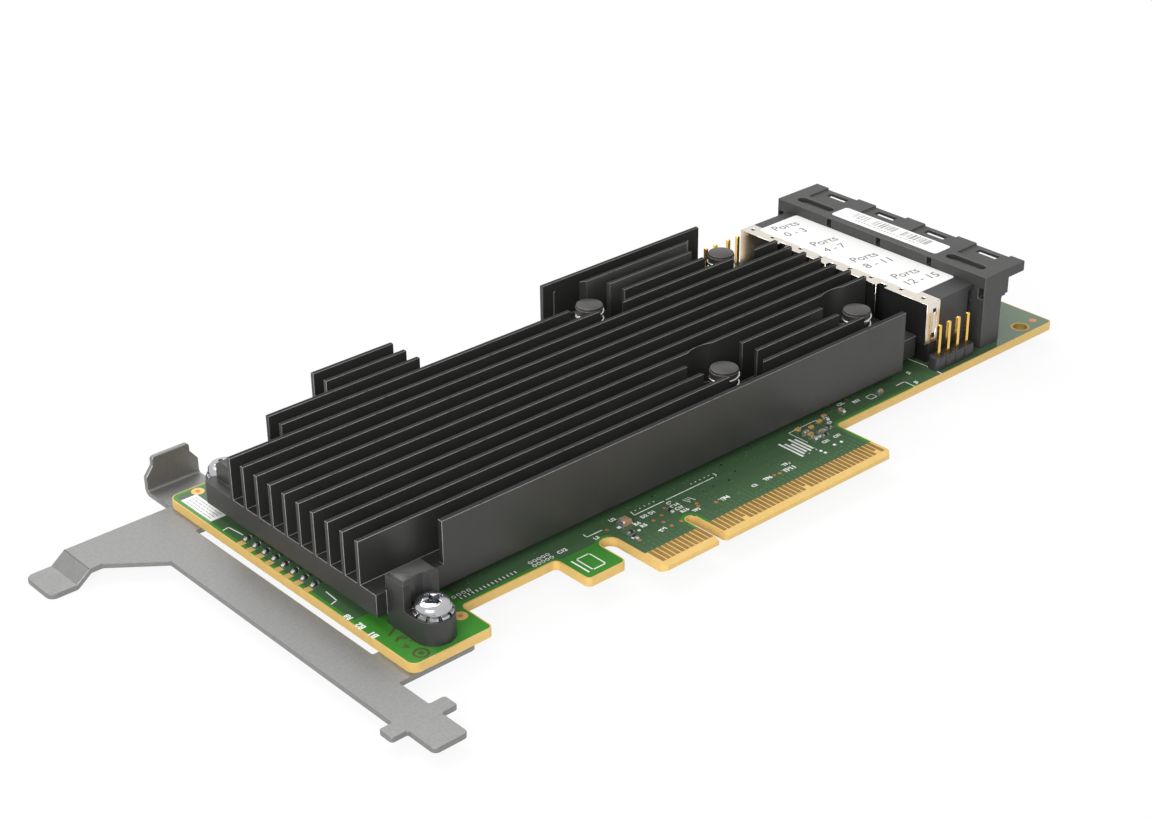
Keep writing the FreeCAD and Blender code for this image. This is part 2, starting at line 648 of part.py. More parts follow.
# ---- bracket -----------------------------------------------------------------------------------------
def make_bracket():
    tab_x1 = SCREW_X + TAB_REACH
    lip_x1 = LIP_X0 + LIP_WIDTH
    flat = plate([
        (TONGUE_OUTER_X, TONGUE_END_Y, 1.0),
        (TONGUE_INNER_X, TONGUE_END_Y, 1.0),
        (TONGUE_INNER_X, EAR_Y0, 0.3),
        (EAR_INNER_X, EAR_Y0, 0.6),
        (EAR_INNER_X, EAR_Y1, 0.6),
        (TONGUE_INNER_X, EAR_Y1, 0.3),
        (TONGUE_INNER_X, FOOT_Y, 0.2),
        (tab_x1, FOOT_Y, 1.0),
        (tab_x1, TAB_NEAR_Y1, 1.0),
        (STRIP_INNER_X, TAB_NEAR_Y1, 0.3),
        (STRIP_INNER_X, TAB_FAR_Y0, 0.3),
        (tab_x1, TAB_FAR_Y0, 1.0),
        (tab_x1, BOARD_WIDTH, 0.5),
        (lip_x1, BOARD_WIDTH, 0),
        (lip_x1, LIP_Y - BEND_R, 0),
        (LIP_X0, LIP_Y - BEND_R, 0),
        (LIP_X0, ARM_Y1, 0),
        (JOGGLE_X, ARM_Y1, 0),
        (JOGGLE_X, ARM_Y0, 0),
        (ARM_TAPER_X, ARM_Y0, 0.8),
        (STRIP_OUTER_X, ARM_TAPER_Y, 0.5),
        (STRIP_OUTER_X, EAR_Y1, 0.3),
        (EAR_OUTER_X, EAR_Y1, 0.6),
        (EAR_OUTER_X, EAR_Y0, 0.6),
        (TONGUE_OUTER_X, EAR_Y0, 0.3),
    ], SHEET_UNDER, UNDERSIDE)
    step_x = JOGGLE_X - JOGGLE_RUN
    drop_top = UNDERSIDE - JOGGLE_DROP
    drop_under = drop_top - SHEET
    # the sheet keeps its thickness down the slope, so the lower line is set back along X
    set_back = SHEET * math.tan(math.atan2(JOGGLE_DROP, JOGGLE_RUN) / 2)
    arm = side_profile([
        (JOGGLE_X + ARM_OVERLAP, UNDERSIDE, 0),
        (JOGGLE_X, UNDERSIDE, JOGGLE_OUTER_R),
        (step_x, drop_top, JOGGLE_INNER_R),
        (ARM_END_X, drop_top, 0),
        (ARM_END_X, drop_under, 0),
        (step_x + set_back, drop_under, JOGGLE_OUTER_R),
        (JOGGLE_X + set_back, SHEET_UNDER, JOGGLE_INNER_R),
        (JOGGLE_X + ARM_OVERLAP, SHEET_UNDER, 0),
    ], ARM_Y0, ARM_Y1)
    beyond_x = JOGGLE_X + 2 * ARM_OVERLAP
    arm_plan = plate([(ARM_END_X, ARM_Y0, ARM_END_R), (beyond_x, ARM_Y0, 0), (beyond_x, ARM_Y1, 0),
                      (ARM_END_X, ARM_Y1, ARM_END_R)], drop_under - 1, UNDERSIDE + 1)
    arm = arm.common(arm_plan)
    # lip section drawn as (y, z): a quarter bend and an upright
    upright = end_profile([
        (LIP_Y - BEND_R - 0.6, SHEET_UNDER, 0),
        (LIP_Y + SHEET, SHEET_UNDER, BEND_R + SHEET),
        (LIP_Y + SHEET, LIP_TOP, 0),
        (LIP_Y, LIP_TOP, 0),
        (LIP_Y, UNDERSIDE, BEND_R),
        (LIP_Y - BEND_R - 0.6, UNDERSIDE, 0),
    ], LIP_X0, lip_x1)
    lip_front = side_profile([
        (LIP_X0, SHEET_UNDER - 1, 0),
        (lip_x1, SHEET_UNDER - 1, 0),
        (lip_x1, LIP_SHOULDER, 0.5),
        (lip_x1 - LIP_NECK, LIP_SHOULDER + LIP_NECK_RISE, 0.3),
        (lip_x1 - LIP_NECK, LIP_TOP, 0.6),
        (LIP_X0 + LIP_NECK, LIP_TOP, 0.6),
        (LIP_X0 + LIP_NECK, LIP_SHOULDER + LIP_NECK_RISE, 0.3),
        (LIP_X0, LIP_SHOULDER, 0.5),
    ], LIP_Y - 3, LIP_Y + 3)
    lip = upright.common(lip_front)
    solids = [flat, arm, lip]
    solids += [rod(SCREW_X, y, SHEET_UNDER - COLLAR_HEIGHT, UNDERSIDE, COLLAR_R) for y in SCREW_YS]
    bracket = fused(solids)
    holes = [rod(SCREW_X, y, SHEET_UNDER - 3, 1, SCREW_SHANK_R) for y in SCREW_YS]
    return bracket.cut(holes[0].fuse(holes[1]))


# ---- cable socket block ------------------------------------------------------------------------------
def make_shell():
    outer = box(BLOCK_X0, BLOCK_Y0, SHELL_BOTTOM, SHELL_X1, BLOCK_Y1, BLOCK_TOP)
    inner = box(BLOCK_X0 + SHELL_SHEET, BLOCK_Y0 + SHELL_SHEET, SHELL_BOTTOM - 1,
                SHELL_X1 + 1, BLOCK_Y1 - SHELL_SHEET, BLOCK_TOP - SHELL_SHEET)
    cuts = [inner]
    for gap in PORT_GAPS:
        middle = gap + SHELL_SLOT_SHIFT
        cuts.append(box(BLOCK_X0 - 1, middle - SHELL_SLOT / 2, SHELL_BOTTOM - 1,
                        BLOCK_X0 + SHELL_SLOT_DEPTH, middle + SHELL_SLOT / 2, BLOCK_TOP + 1))
    for y in PORT_YS:
        for shift in SHELL_TOP_HOLES:
            cuts.append(centred_box(BLOCK_X0 + SHELL_TOP_HOLE_IN, y + shift, BLOCK_TOP - 1,
                                    SHELL_TOP_HOLE, SHELL_TOP_HOLE, 2))
    low_hole = SHELL_BOTTOM + SHELL_END_HOLE_LOW
    high_hole = BLOCK_TOP - SHELL_END_HOLE_HIGH
    slit_x = BLOCK_X0 + SHELL_SLIT_IN
    tongue_x = slit_x + SHELL_SLIT
    for y, y_in in ((BLOCK_Y0, 1), (BLOCK_Y1, -1)):
        for z in (low_hole, high_hole):
            cuts.append(centred_box(BLOCK_X0 + SHELL_END_HOLE_IN, y, z, SHELL_END_HOLE, 3, SHELL_END_HOLE))
        cuts.append(box(slit_x, y - 1, low_hole + SHELL_END_HOLE, tongue_x, y + 1, high_hole))
        face = y + y_in * SHELL_TONGUE_DEPTH
        cuts.append(box(tongue_x, min(face, y - y_in), low_hole + SHELL_END_HOLE,
                        tongue_x + SHELL_TONGUE, max(face, y - y_in), high_hole))
    return outer.cut(cuts[0].multiFuse(cuts[1:]))


def make_body():
    inset = SHELL_SHEET + BODY_FIT
    rear = box(BLOCK_X0 + inset + BODY_RECESS, BLOCK_Y0 + inset, 0, SHELL_X1 + BODY_FIT, BLOCK_Y1 - inset,
               BLOCK_TOP - inset)
    front = box(SHELL_X1 + BODY_FIT, BLOCK_Y0, 0, HOUSING_X0, BLOCK_Y1, BLOCK_TOP)
    body = rear.fuse(front).removeSplitter()
    cuts = []
    for y, y_in in ((BLOCK_Y0, 1), (BLOCK_Y1, -1)):
        deep = y + y_in * END_SLOT_DEPTH
        cuts.append(box(HOUSING_X0 - END_SLOT, min(deep, y - y_in), -1, HOUSING_X0 + 1,
                        max(deep, y - y_in), BLOCK_TOP - END_SLOT_DROP))
    length, width, depth = TOP_SLOT
    for gap in PORT_GAPS:
        cuts.append(box(HOUSING_X0 - length, gap - width / 2, BLOCK_TOP - depth,
                        HOUSING_X0 + 1, gap + width / 2, BLOCK_TOP + 1))
    return body.cut(cuts[0].multiFuse(cuts[1:]))


def make_housing():
    x0 = HOUSING_X0
    roof = box(x0, HOUSING_Y0, ROOF_UNDER, x0 + ROOF_DEPTH, HOUSING_Y1, HOUSING_TOP)
    block = side_profile([
        (x0, 0, 0),
        (x0 + FOOT_DEPTH, 0, 0.4),
        (x0 + FOOT_DEPTH, FOOT_HEIGHT, 0),
        (x0 + WALL_DEPTH, FOOT_HEIGHT, 0),
        (x0 + WALL_DEPTH, ROOF_UNDER, 0),
        (x0, ROOF_UNDER, 0),
    ], HOUSING_Y0, HOUSING_Y1)
    housing = roof.fuse(block).removeSplitter()
    cuts = []
    opening = PORT_PITCH - PARTITION
    for y in PORT_YS:
        cuts.append(box(x0 + HOUSING_BACK, y - opening / 2, FLOOR, x0 + ROOF_DEPTH + 1, y + opening / 2,
                        ROOF_UNDER))
        half = TONGUE_WIDTH / 2 + TONGUE_FIT
        for z in TONGUES:
            cuts.append(box(x0 - 1, y - half, z - TONGUE_FIT, x0 + 2 * HOUSING_BACK, y + half,
                            z + TONGUE_THICK + TONGUE_FIT))
        wx = x0 + WINDOW_X_IN + WINDOW_DEPTH / 2
        cuts.append(centred_box(wx, y, ROOF_UNDER - 1, WINDOW_DEPTH, WINDOW_WIDTH, ROOF_THICK + 2))
        panel = HOUSING_TOP - PANEL_DROP
        cuts.append(box(x0 + PANEL_X_IN, y - PANEL_WIDTH / 2, panel,
                        x0 + ROOF_DEPTH + 1, y + PANEL_WIDTH / 2, HOUSING_TOP + 1))
        cuts.append(box(x0 + PANEL_X_IN, y - PANEL_WIDTH / 2, ROOF_UNDER - 1,
                        x0 + ROOF_DEPTH + 1, y + PANEL_WIDTH / 2, panel - PANEL_ROOF))
        px = x0 + POCKET_X_IN
        cuts.append(plate(rectangle(px, y - POCKET_WIDTH / 2, px + POCKET_DEPTH_X, y + POCKET_WIDTH / 2,
                                    POCKET_DEPTH_X / 2 - 0.01), HOUSING_TOP - POCKET_SINK,
                          HOUSING_TOP + 1))
    notch_top = HOUSING_TOP - REAR_NOTCH_DROP
    for gap in PORT_GAPS:
        cuts.append(box(x0 - 1, gap - REAR_NOTCH_WIDTH / 2, notch_top - REAR_NOTCH_HEIGHT,
                        x0 + REAR_NOTCH_DEPTH, gap + REAR_NOTCH_WIDTH / 2, notch_top))
    end_top = HOUSING_TOP - END_NOTCH_DROP
    length, depth, height = LEG_NOTCH
    for y, y_in in ((HOUSING_Y0, 1), (HOUSING_Y1, -1)):
        near = y + y_in * END_NOTCH_IN
        far = near + y_in * END_NOTCH_WIDTH
        cuts.append(box(x0 - 1, min(near, far), end_top - END_NOTCH_HEIGHT,
                        x0 + END_NOTCH_DEPTH, max(near, far), end_top))
        deep = y + y_in * depth
        cuts.append(box(x0 + WALL_DEPTH - length, min(deep, y - y_in), FOOT_HEIGHT,
                        x0 + WALL_DEPTH + 1, max(deep, y - y_in), FOOT_HEIGHT + height))
    return housing.cut(cuts[0].multiFuse(cuts[1:]))


def make_tongues():
    shapes = []
    for y in PORT_YS:
        for z in TONGUES:
            tongue = box(HOUSING_X0, y - TONGUE_WIDTH / 2, z, HOUSING_X0 + TONGUE_REACH,
                         y + TONGUE_WIDTH / 2, z + TONGUE_THICK)
            nose = [e for e in tongue.Edges
                    if e.BoundBox.XMin > HOUSING_X0 + TONGUE_REACH - 0.01 and e.BoundBox.YLength > 1]
            shapes.append(tongue.makeChamfer(TONGUE_THICK * 0.25, nose))
    return Part.makeCompound(shapes)


def make_socket_contacts():
    shapes = []
    x1 = HOUSING_X0 + TONGUE_REACH - CONTACT_TIP_GAP
    x0 = x1 - CONTACT_LENGTH
    for y in PORT_YS:
        for z in TONGUES:
            for i in range(CONTACTS):
                cy = y + (i - (CONTACTS - 1) / 2) * CONTACT_PITCH
                for z0 in (z - CONTACT_THICK, z + TONGUE_THICK):
                    shapes.append(box(x0, cy - CONTACT_WIDTH / 2, z0, x1, cy + CONTACT_WIDTH / 2,
                                      z0 + CONTACT_THICK))
    return Part.makeCompound(shapes)


def make_socket_tails():
    shapes = []
    start = SHELL_X1 + TAIL_START
    for y in PORT_YS:
        for row in range(TAIL_ROWS):
            for i in range(TAILS_PER_ROW):
                x = start + row * TAIL_ROW_PITCH
                cy = y + (i - (TAILS_PER_ROW - 1) / 2) * TAIL_PITCH + (row % 2) * TAIL_PITCH / 4
                shapes.append(centred_box(x, cy, UNDERSIDE - TAIL_LENGTH, TAIL_SIZE, TAIL_SIZE,
                                          TAIL_LENGTH))
    return Part.makeCompound(shapes)


# ---- labels ------------------------------------------------------------------------------------------
def make_label(x0, depth, centre_y, length, z):
    y0 = centre_y - length / 2
    return plate(rectangle(x0, y0, x0 + depth, y0 + length, 0.7), z, z + LABEL_THICK)


# ---- headers -----------------------------------------------------------------------------------------
def make_header_base(first_x, y, pins):
    x0 = first_x - HEADER_PITCH / 2
    x1 = x0 + pins * HEADER_PITCH
    half = HEADER_BASE_WIDTH / 2
    base = box(x0, y - half, 0, x1, y + half, HEADER_BASE_HEIGHT)
    cuts = []
    for i in range(pins + 1):
        x = x0 + i * HEADER_PITCH
        for side in (-1, 1):
            outer_y = y + side * (half + 0.01)
            corners = [(x - HEADER_GROOVE / 2, outer_y, 0), (x + HEADER_GROOVE / 2, outer_y, 0),
                       (x, y + side * (half - HEADER_GROOVE_DEPTH), 0)]
            cuts.append(plate(corners, -1, HEADER_BASE_HEIGHT + 1))
    room = HEADER_PIN / 2 + HEADER_FIT
    for i in range(pins):
        x = first_x + i * HEADER_PITCH
        cuts.append(box(x - room, y - room, -1, x + room, y + room, HEADER_BASE_HEIGHT + 1))
    return base.cut(cuts[0].multiFuse(cuts[1:]))


def make_header_pin(x, y):
    z0 = UNDERSIDE - HEADER_TAIL
    pin = centred_box(x, y, z0, HEADER_PIN, HEADER_PIN, HEADER_TOP - z0)
    ends = [e for e in pin.Edges if e.BoundBox.ZLength < 0.01]
    return pin.makeChamfer(HEADER_PIN_CHAMFER, ends)


def make_pin_joint(x, y):
    rings = []
    for radius, z in ((FILLET_R, UNDERSIDE), (FILLET_TIP_R, UNDERSIDE - FILLET_HEIGHT)):
        ring = Part.makePolygon([FreeCAD.Vector(x + radius * math.cos(math.radians(a)),
                                                y + radius * math.sin(math.radians(a)), z)
                                 for a in range(0, 361, 60)])
        rings.append(Part.Wire(ring))
    joint = Part.makeLoft(rings, True, True)
    z0 = UNDERSIDE - HEADER_TAIL - 1
    return joint.cut(centred_box(x, y, z0, HEADER_PIN, HEADER_PIN, HEADER_TAIL + 2))


# ---- chips and small parts ---------------------------------------------------------------------------
def make_controller():
    lid = CONTROLLER_SIZE - 2 * CONTROLLER_LID_INSET
    balls = CONTROLLER_SIZE - 2 * BALL_INSET
    return fused([
        centred_box(CHIP_X, CHIP_Y, 0, balls, balls, BALL_GAP + 0.1),
        centred_box(CHIP_X, CHIP_Y, BALL_GAP, CONTROLLER_SIZE, CONTROLLER_SIZE,
                    CONTROLLER_SUBSTRATE - BALL_GAP),
        centred_box(CHIP_X, CHIP_Y, CONTROLLER_SUBSTRATE - 0.1, lid, lid,
                    CONTROLLER_HEIGHT - CONTROLLER_SUBSTRATE + 0.1),
    ])


def make_package(x, y, size_x, size_y, height):
    body = centred_box(x, y, 0, size_x, size_y, height)
    top = [e for e in body.Edges if e.BoundBox.ZMin > height - 0.01]
    return body.makeChamfer(0.12, top)


def chip_part(x, y, along_x, size, z0=0, up=1):
    """Two-terminal chip with end caps that wrap it, on the top (up=1) or the underside (up=-1)."""
    length, width, height = size
    size_x = length if along_x else width
    size_y = width if along_x else length
    low = z0 if up > 0 else z0 - height
    body_low = low if up > 0 else low + CHIP_WRAP
    pieces = [centred_box(x, y, body_low, size_x - 2 * CHIP_WRAP, size_y - 2 * CHIP_WRAP,
                          height - CHIP_WRAP)]
    for end in (-1, 1):
        shift = (length - CHIP_CAP) / 2 * end
        if along_x:
            pieces.append(centred_box(x + shift, y, low, CHIP_CAP, size_y, height))
        else:
            pieces.append(centred_box(x, y + shift, low, size_x, CHIP_CAP, height))
    return fused(pieces)


def chip_group(places_x, places_y, size):
    chips = [chip_part(x, y, True, size) for x, y in places_x]
    chips += [chip_part(x, y, False, size) for x, y in places_y]
    return Part.makeCompound(chips)


def make_edge_row():
    return Part.makeCompound([chip_part(EDGE_ROW_X, EDGE_ROW_Y0 + i * EDGE_ROW_PITCH, True, CAPACITOR_CHIP)
                              for i in range(EDGE_ROW_COUNT)])


def make_inductor(x, y):
    body = centred_box(x, y, 0, INDUCTOR_SIZE, INDUCTOR_SIZE, INDUCTOR_HEIGHT)
    upright = [e for e in body.Edges if e.BoundBox.ZLength > 1]
    return body.makeChamfer(INDUCTOR_CHAMFER, upright)


def make_underside_capacitors():
    shapes = []
    for i in range(UNDER_CAP_COUNT[0]):
        for j in range(UNDER_CAP_COUNT[1]):
            x = CHIP_X + (i - (UNDER_CAP_COUNT[0] - 1) / 2) * UNDER_CAP_PITCH
            y = CHIP_Y + (j - (UNDER_CAP_COUNT[1] - 1) / 2) * UNDER_CAP_PITCH
            shapes.append(chip_part(x, y, (i + j) % 2 == 0, LARGE_CHIP, UNDERSIDE, -1))
    return Part.makeCompound(shapes)


def make_under_block(x, y, size_x, size_y, height):
    body = centred_box(x, y, UNDERSIDE - height, size_x, size_y, height)
    low = [e for e in body.Edges if e.BoundBox.ZMax < UNDERSIDE - height + 0.01]
    return body.makeChamfer(0.15, low)


nodes = {
    "circuit_board": make_board(),
    "edge_contacts_top": make_contacts(0),
    "edge_contacts_bottom": make_contacts(UNDERSIDE - PAD_THICK),
    "heatsink": make_heatsink(),
    "push_pins": Part.makeCompound([make_push_pin(x, y) for x, y in PIN_PLACES]),
    "push_pin_springs": Part.makeCompound([make_spring(x, y) for x, y in PIN_PLACES]),
    "lug_screws": Part.makeCompound([make_screw(y) for y in SCREW_YS]),
    "lock_washers": Part.makeCompound([make_washer(y) for y in SCREW_YS]),
    "bracket": make_bracket(),
    "socket_shell": make_shell(),
    "socket_body": make_body(),
    "guide_housing": make_housing(),
    "contact_tongues": make_tongues(),
    "socket_contacts": make_socket_contacts(),
    "socket_tails": make_socket_tails(),
    "port_label": make_label(PORT_LABEL_X, PORT_LABEL_DEPTH, PORT_LABEL_CENTRE_Y, PORT_LABEL_LENGTH,
                             BLOCK_TOP),
    "code_label": make_label(CODE_LABEL_X, CODE_LABEL_DEPTH, CODE_LABEL_CENTRE_Y, CODE_LABEL_LENGTH,
                             HOUSING_TOP),
    "board_label": plate(rectangle(BOARD_LABEL_X, BOARD_LABEL_Y0, BOARD_LABEL_X + BOARD_LABEL_WIDTH,
                                   BOARD_LABEL_Y0 + BOARD_LABEL_LENGTH), 0, LABEL_THICK),
    "front_header_base": make_header_base(FRONT_HEADER_X, FRONT_HEADER_Y, FRONT_HEADER_PINS),
    "rear_header_bases": Part.makeCompound([make_header_base(x, REAR_HEADER_Y, REAR_HEADER_PINS)
                                            for x in REAR_HEADER_XS]),
    "front_header_pins": Part.makeCompound([make_header_pin(x, y)
                                            for x, y in header_places()[:FRONT_HEADER_PINS]]),
    "rear_header_pins": Part.makeCompound([make_header_pin(x, y)
                                           for x, y in header_places()[FRONT_HEADER_PINS:]]),
    "header_solder_joints": Part.makeCompound([make_pin_joint(x, y) for x, y in header_places()]),
    "controller_chip": make_controller(),
    "controller_pad": centred_box(CHIP_X, CHIP_Y, CONTROLLER_HEIGHT,
                                  CONTROLLER_SIZE - 2 * CONTROLLER_LID_INSET - 1,
                                  CONTROLLER_SIZE - 2 * CONTROLLER_LID_INSET - 1,
                                  SINK_GAP - CONTROLLER_HEIGHT),
    "memory_chips": Part.makeCompound([make_package(x, MEMORY_Y, MEMORY_SIZE[0], MEMORY_SIZE[1],
                                                    MEMORY_HEIGHT) for x in MEMORY_XS]),
    "memory_pads": Part.makeCompound([centred_box(x, MEMORY_Y, MEMORY_HEIGHT, MEMORY_SIZE[0] - 1,
                                                  MEMORY_SIZE[1] - 1, SINK_GAP - MEMORY_HEIGHT)
                                      for x in MEMORY_XS]),
    "flash_chip": make_package(FLASH_PLACE[0], FLASH_PLACE[1], FLASH_SIZE[0], FLASH_SIZE[1],
                               FLASH_HEIGHT),
    "crystal": make_package(CRYSTAL_PLACE[0], CRYSTAL_PLACE[1], CRYSTAL_SIZE[0], CRYSTAL_SIZE[1],
                            CRYSTAL_HEIGHT),
    "power_inductors": Part.makeCompound([make_inductor(x, y) for x, y in INDUCTOR_PLACES]),
    "voltage_regulators": Part.makeCompound([make_package(x, y, REGULATOR_SIZE, REGULATOR_SIZE,
                                                          REGULATOR_HEIGHT)
                                             for x, y in REGULATOR_PLACES]),
    "block_capacitor": make_package(BLOCK_CAPACITOR[0], BLOCK_CAPACITOR[1], BLOCK_CAPACITOR_SIZE[0],
                                    BLOCK_CAPACITOR_SIZE[1], BLOCK_CAPACITOR_HEIGHT),
    "chip_capacitors": chip_group(CAPACITORS_X, CAPACITORS_Y, CAPACITOR_CHIP),
    "chip_resistors": chip_group(RESISTORS_X, RESISTORS_Y, RESISTOR_CHIP),
    "edge_row_parts": make_edge_row(),
    "underside_capacitors": make_underside_capacitors(),
    "underside_regulators": Part.makeCompound([make_under_block(x, y, UNDER_REGULATOR_SIZE,
                                                                UNDER_REGULATOR_SIZE,
                                                                UNDER_REGULATOR_HEIGHT)
                                               for x, y in UNDER_REGULATOR_PLACES]),
    "underside_tantalums": Part.makeCompound([make_under_block(x, y, UNDER_TANTALUM_SIZE[0],
                                                               UNDER_TANTALUM_SIZE[1],
                                                               UNDER_TANTALUM_HEIGHT)
                                              for x, y in UNDER_TANTALUM_PLACES]),
    "underside_drivers": Part.makeCompound([make_under_block(x, y, UNDER_DRIVER_SIZE[0],
                                                             UNDER_DRIVER_SIZE[1],
                                                             UNDER_DRIVER_HEIGHT)
                                            for x, y in UNDER_DRIVER_PLACES]),
}

# The row's origin is the bottom centre of the whole card's bounding box.
lowest = min(BARB_TIP_Z, UNDERSIDE - JOGGLE_DROP - SHEET)
move = FreeCAD.Vector(-(ARM_END_X + BOARD_LENGTH) / 2, -(TONGUE_END_Y + LIP_Y + SHEET) / 2, -lowest)
for name, shape in nodes.items():
    placed = shape.copy()
    placed.translate(move)
    placed.exportStep("parts/" + name + ".step")
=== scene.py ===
# %% [markdown]
# # A storage controller card, dressed for the studio
# The card comes from CAD as thirty-nine nodes with the right sizes and plain surfaces. This notebook gives
# each node its finish and adds the thin things that a CAD model leaves out: the solder mask, the copper
# under it, the printed marks, the solder, the round wire of the springs and the print on the labels.

# %% Load the frame
import bpy
import bmesh
import math
import random
from mathutils import Matrix, Vector


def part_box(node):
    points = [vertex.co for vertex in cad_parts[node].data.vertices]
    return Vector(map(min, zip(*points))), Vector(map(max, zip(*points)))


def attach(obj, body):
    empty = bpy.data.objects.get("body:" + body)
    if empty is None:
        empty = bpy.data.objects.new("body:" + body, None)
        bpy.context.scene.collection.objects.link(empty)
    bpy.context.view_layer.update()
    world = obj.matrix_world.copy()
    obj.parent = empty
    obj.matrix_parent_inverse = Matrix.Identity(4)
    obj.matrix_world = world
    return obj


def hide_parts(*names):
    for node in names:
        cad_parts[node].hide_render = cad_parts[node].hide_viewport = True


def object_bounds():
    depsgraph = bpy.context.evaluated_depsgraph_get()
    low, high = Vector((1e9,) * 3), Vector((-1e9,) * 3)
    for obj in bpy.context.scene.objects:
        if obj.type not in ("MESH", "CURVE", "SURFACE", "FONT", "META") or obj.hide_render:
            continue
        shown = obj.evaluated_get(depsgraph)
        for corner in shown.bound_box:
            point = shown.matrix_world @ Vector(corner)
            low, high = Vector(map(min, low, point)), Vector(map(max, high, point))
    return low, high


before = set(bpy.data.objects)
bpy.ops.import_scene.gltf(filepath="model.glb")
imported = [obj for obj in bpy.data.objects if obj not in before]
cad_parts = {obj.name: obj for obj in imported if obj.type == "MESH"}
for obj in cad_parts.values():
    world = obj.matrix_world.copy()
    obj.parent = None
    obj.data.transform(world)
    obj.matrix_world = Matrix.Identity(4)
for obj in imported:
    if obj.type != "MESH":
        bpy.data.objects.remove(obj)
CAD_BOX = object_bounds()
MM = 0.001
print("nodes:", len(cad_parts), "box in mm:",
      [round((high - low) / MM, 1) for low, high in zip(CAD_BOX[0], CAD_BOX[1])])

# %% [markdown]
# ## Working in the board's own millimetres
# A board is drawn from its left end, from the tips of its edge connector and from its component face. Places
# are easier to read in those terms, so `at` turns such a place into the frame's metres. The board's own box
# gives the corner to start from, so every place follows the CAD.

# %% The board's own coordinates
BOARD_LOW, BOARD_HIGH = (Vector(corner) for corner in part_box("circuit_board"))
BOARD_THICK = (BOARD_HIGH.z - BOARD_LOW.z) / MM


def at(x, y, z=0.0):
    """Place in metres from the board's left end, connector tips and component face in millimetres."""
    return Vector((BOARD_LOW.x + x * MM, BOARD_LOW.y + y * MM, BOARD_HIGH.z + z * MM))


def local_box(node):
    """Lowest and highest corner of a node in the board's own millimetres."""
    low, high = (Vector(corner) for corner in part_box(node))
    start = at(0, 0, 0)
    return (low - start) / MM, (high - start) / MM


print("board thickness:", round(BOARD_THICK, 2))

# %% [markdown]
# ## Two ways to make a piece
# A solid whose shape is right only lacks the tiny rounding that every real edge has, and that rounding is
# what catches the light. `worked_copy` merges a copy of the CAD mesh, joins its flat faces and bevels its
# sharp edges. The bevel's own faces are marked in an attribute called `edge`, so that a material can give
# them its edge colour: a painted highlight where that colour is lighter, painted shade where it is darker.
# Thin extras are started from scratch, and both kinds end in `add_piece`.

# %% Copies of the CAD solids
FLAT = math.radians(0.3)   # faces that turn less than this are one flat face


def merged_copy(node, distance=0.001):
    """A copy of a CAD node's mesh, with the points joined that lie within so many millimetres."""
    bm = bmesh.new()
    bm.from_mesh(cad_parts[node].data)
    bmesh.ops.remove_doubles(bm, verts=bm.verts, dist=distance * MM)
    return bm


def worked_copy(node, rounding, turn=30.0, steps=1, reshape=None):
    """A merged copy whose edges sharper than `turn` degrees are rounded by so many millimetres."""
    bm = merged_copy(node)
    bmesh.ops.dissolve_limit(bm, angle_limit=FLAT, verts=bm.verts, edges=bm.edges)
    sheen_and_shade_mark = bm.faces.layers.float.new("edge")
    if reshape is not None:
        reshape(bm)
    sharp = [e for e in bm.edges
             if len(e.link_faces) == 2 and e.calc_face_angle(0.0) > math.radians(turn)]
    made = bmesh.ops.bevel(bm, geom=sharp, offset=rounding * MM, offset_type="OFFSET", segments=steps,
                           profile=0.5, affect="EDGES", material=-1)
    # The marked faces take each material's edge colour: lighter as a painted highlight, darker as painted
    # shade.
    for face in made["faces"]:
        face[sheen_and_shade_mark] = 1.0
    return bm


def islands(bm):
    """The separate solids of a mesh, as lists of vertices."""
    left = set(bm.verts)
    found = []
    while left:
        group = [left.pop()]
        for vert in group:
            for edge in vert.link_edges:
                other = edge.other_vert(vert)
                if other in left:
                    left.remove(other)
                    group.append(other)
        found.append(group)
    return sorted(found, key=lambda g: tuple(round(v, 5) for v in min(v.co[:] for v in g)))


def faces_of(verts):
    """The faces that meet at some vertices."""
    return {face for vert in verts for face in vert.link_faces}


def extent(verts):
    """Lowest and highest corner of some vertices, in metres."""
    low = Vector([min(v.co[i] for v in verts) for i in range(3)])
    high = Vector([max(v.co[i] for v in verts) for i in range(3)])
    return low, high


# %% Finished pieces
def add_piece(name, bm, materials, stands_for=(), sharp=40.0):
    """Makes the finished piece: smooth faces, sharp edges, its materials, riding on the card."""
    limit = math.radians(sharp)
    for face in bm.faces:
        face.smooth = sharp > 0
    for edge in bm.edges:
        edge.smooth = len(edge.link_faces) == 2 and edge.calc_face_angle(0.0) < limit
    mesh = bpy.data.meshes.new(name)
    bm.to_mesh(mesh)
    bm.free()
    for material in materials if isinstance(materials, tuple) else (materials,):
        mesh.materials.append(material)
    piece = bpy.data.objects.new(name, mesh)
    bpy.context.scene.collection.objects.link(piece)
    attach(piece, "root")
    if stands_for:
        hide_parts(*stands_for)
    return piece


# %% Blocks, spots, strokes and letters
INK_THICK = 0.012          # thickness of a print, in millimetres


def thicken(bm, height):
    """Makes a closed solid of a flat sheet by lifting a copy of it so many millimetres."""
    grown = bmesh.ops.extrude_face_region(bm, geom=bm.faces[:])
    lifted = [v for v in grown["geom"] if isinstance(v, bmesh.types.BMVert)]
    bmesh.ops.translate(bm, verts=lifted, vec=(0, 0, height * MM))
    bmesh.ops.recalc_face_normals(bm, faces=bm.faces)


def slab(bm, low, high):
    """A closed block between two corners in the board's own millimetres."""
    low, high = at(*low), at(*high)
    place = Matrix.Translation((low + high) / 2) @ Matrix.Diagonal((*(high - low), 1.0))
    return bmesh.ops.create_cube(bm, size=1.0, matrix=place)["verts"]


def disc(bm, x, y, z, radius, sides=16, thick=INK_THICK):
    """A thin round spot, its face at z + thick."""
    place = Matrix.Translation(at(x, y, z + thick / 2))
    bmesh.ops.create_cone(bm, cap_ends=True, segments=sides, radius1=radius * MM, radius2=radius * MM,
                          depth=thick * MM, matrix=place)


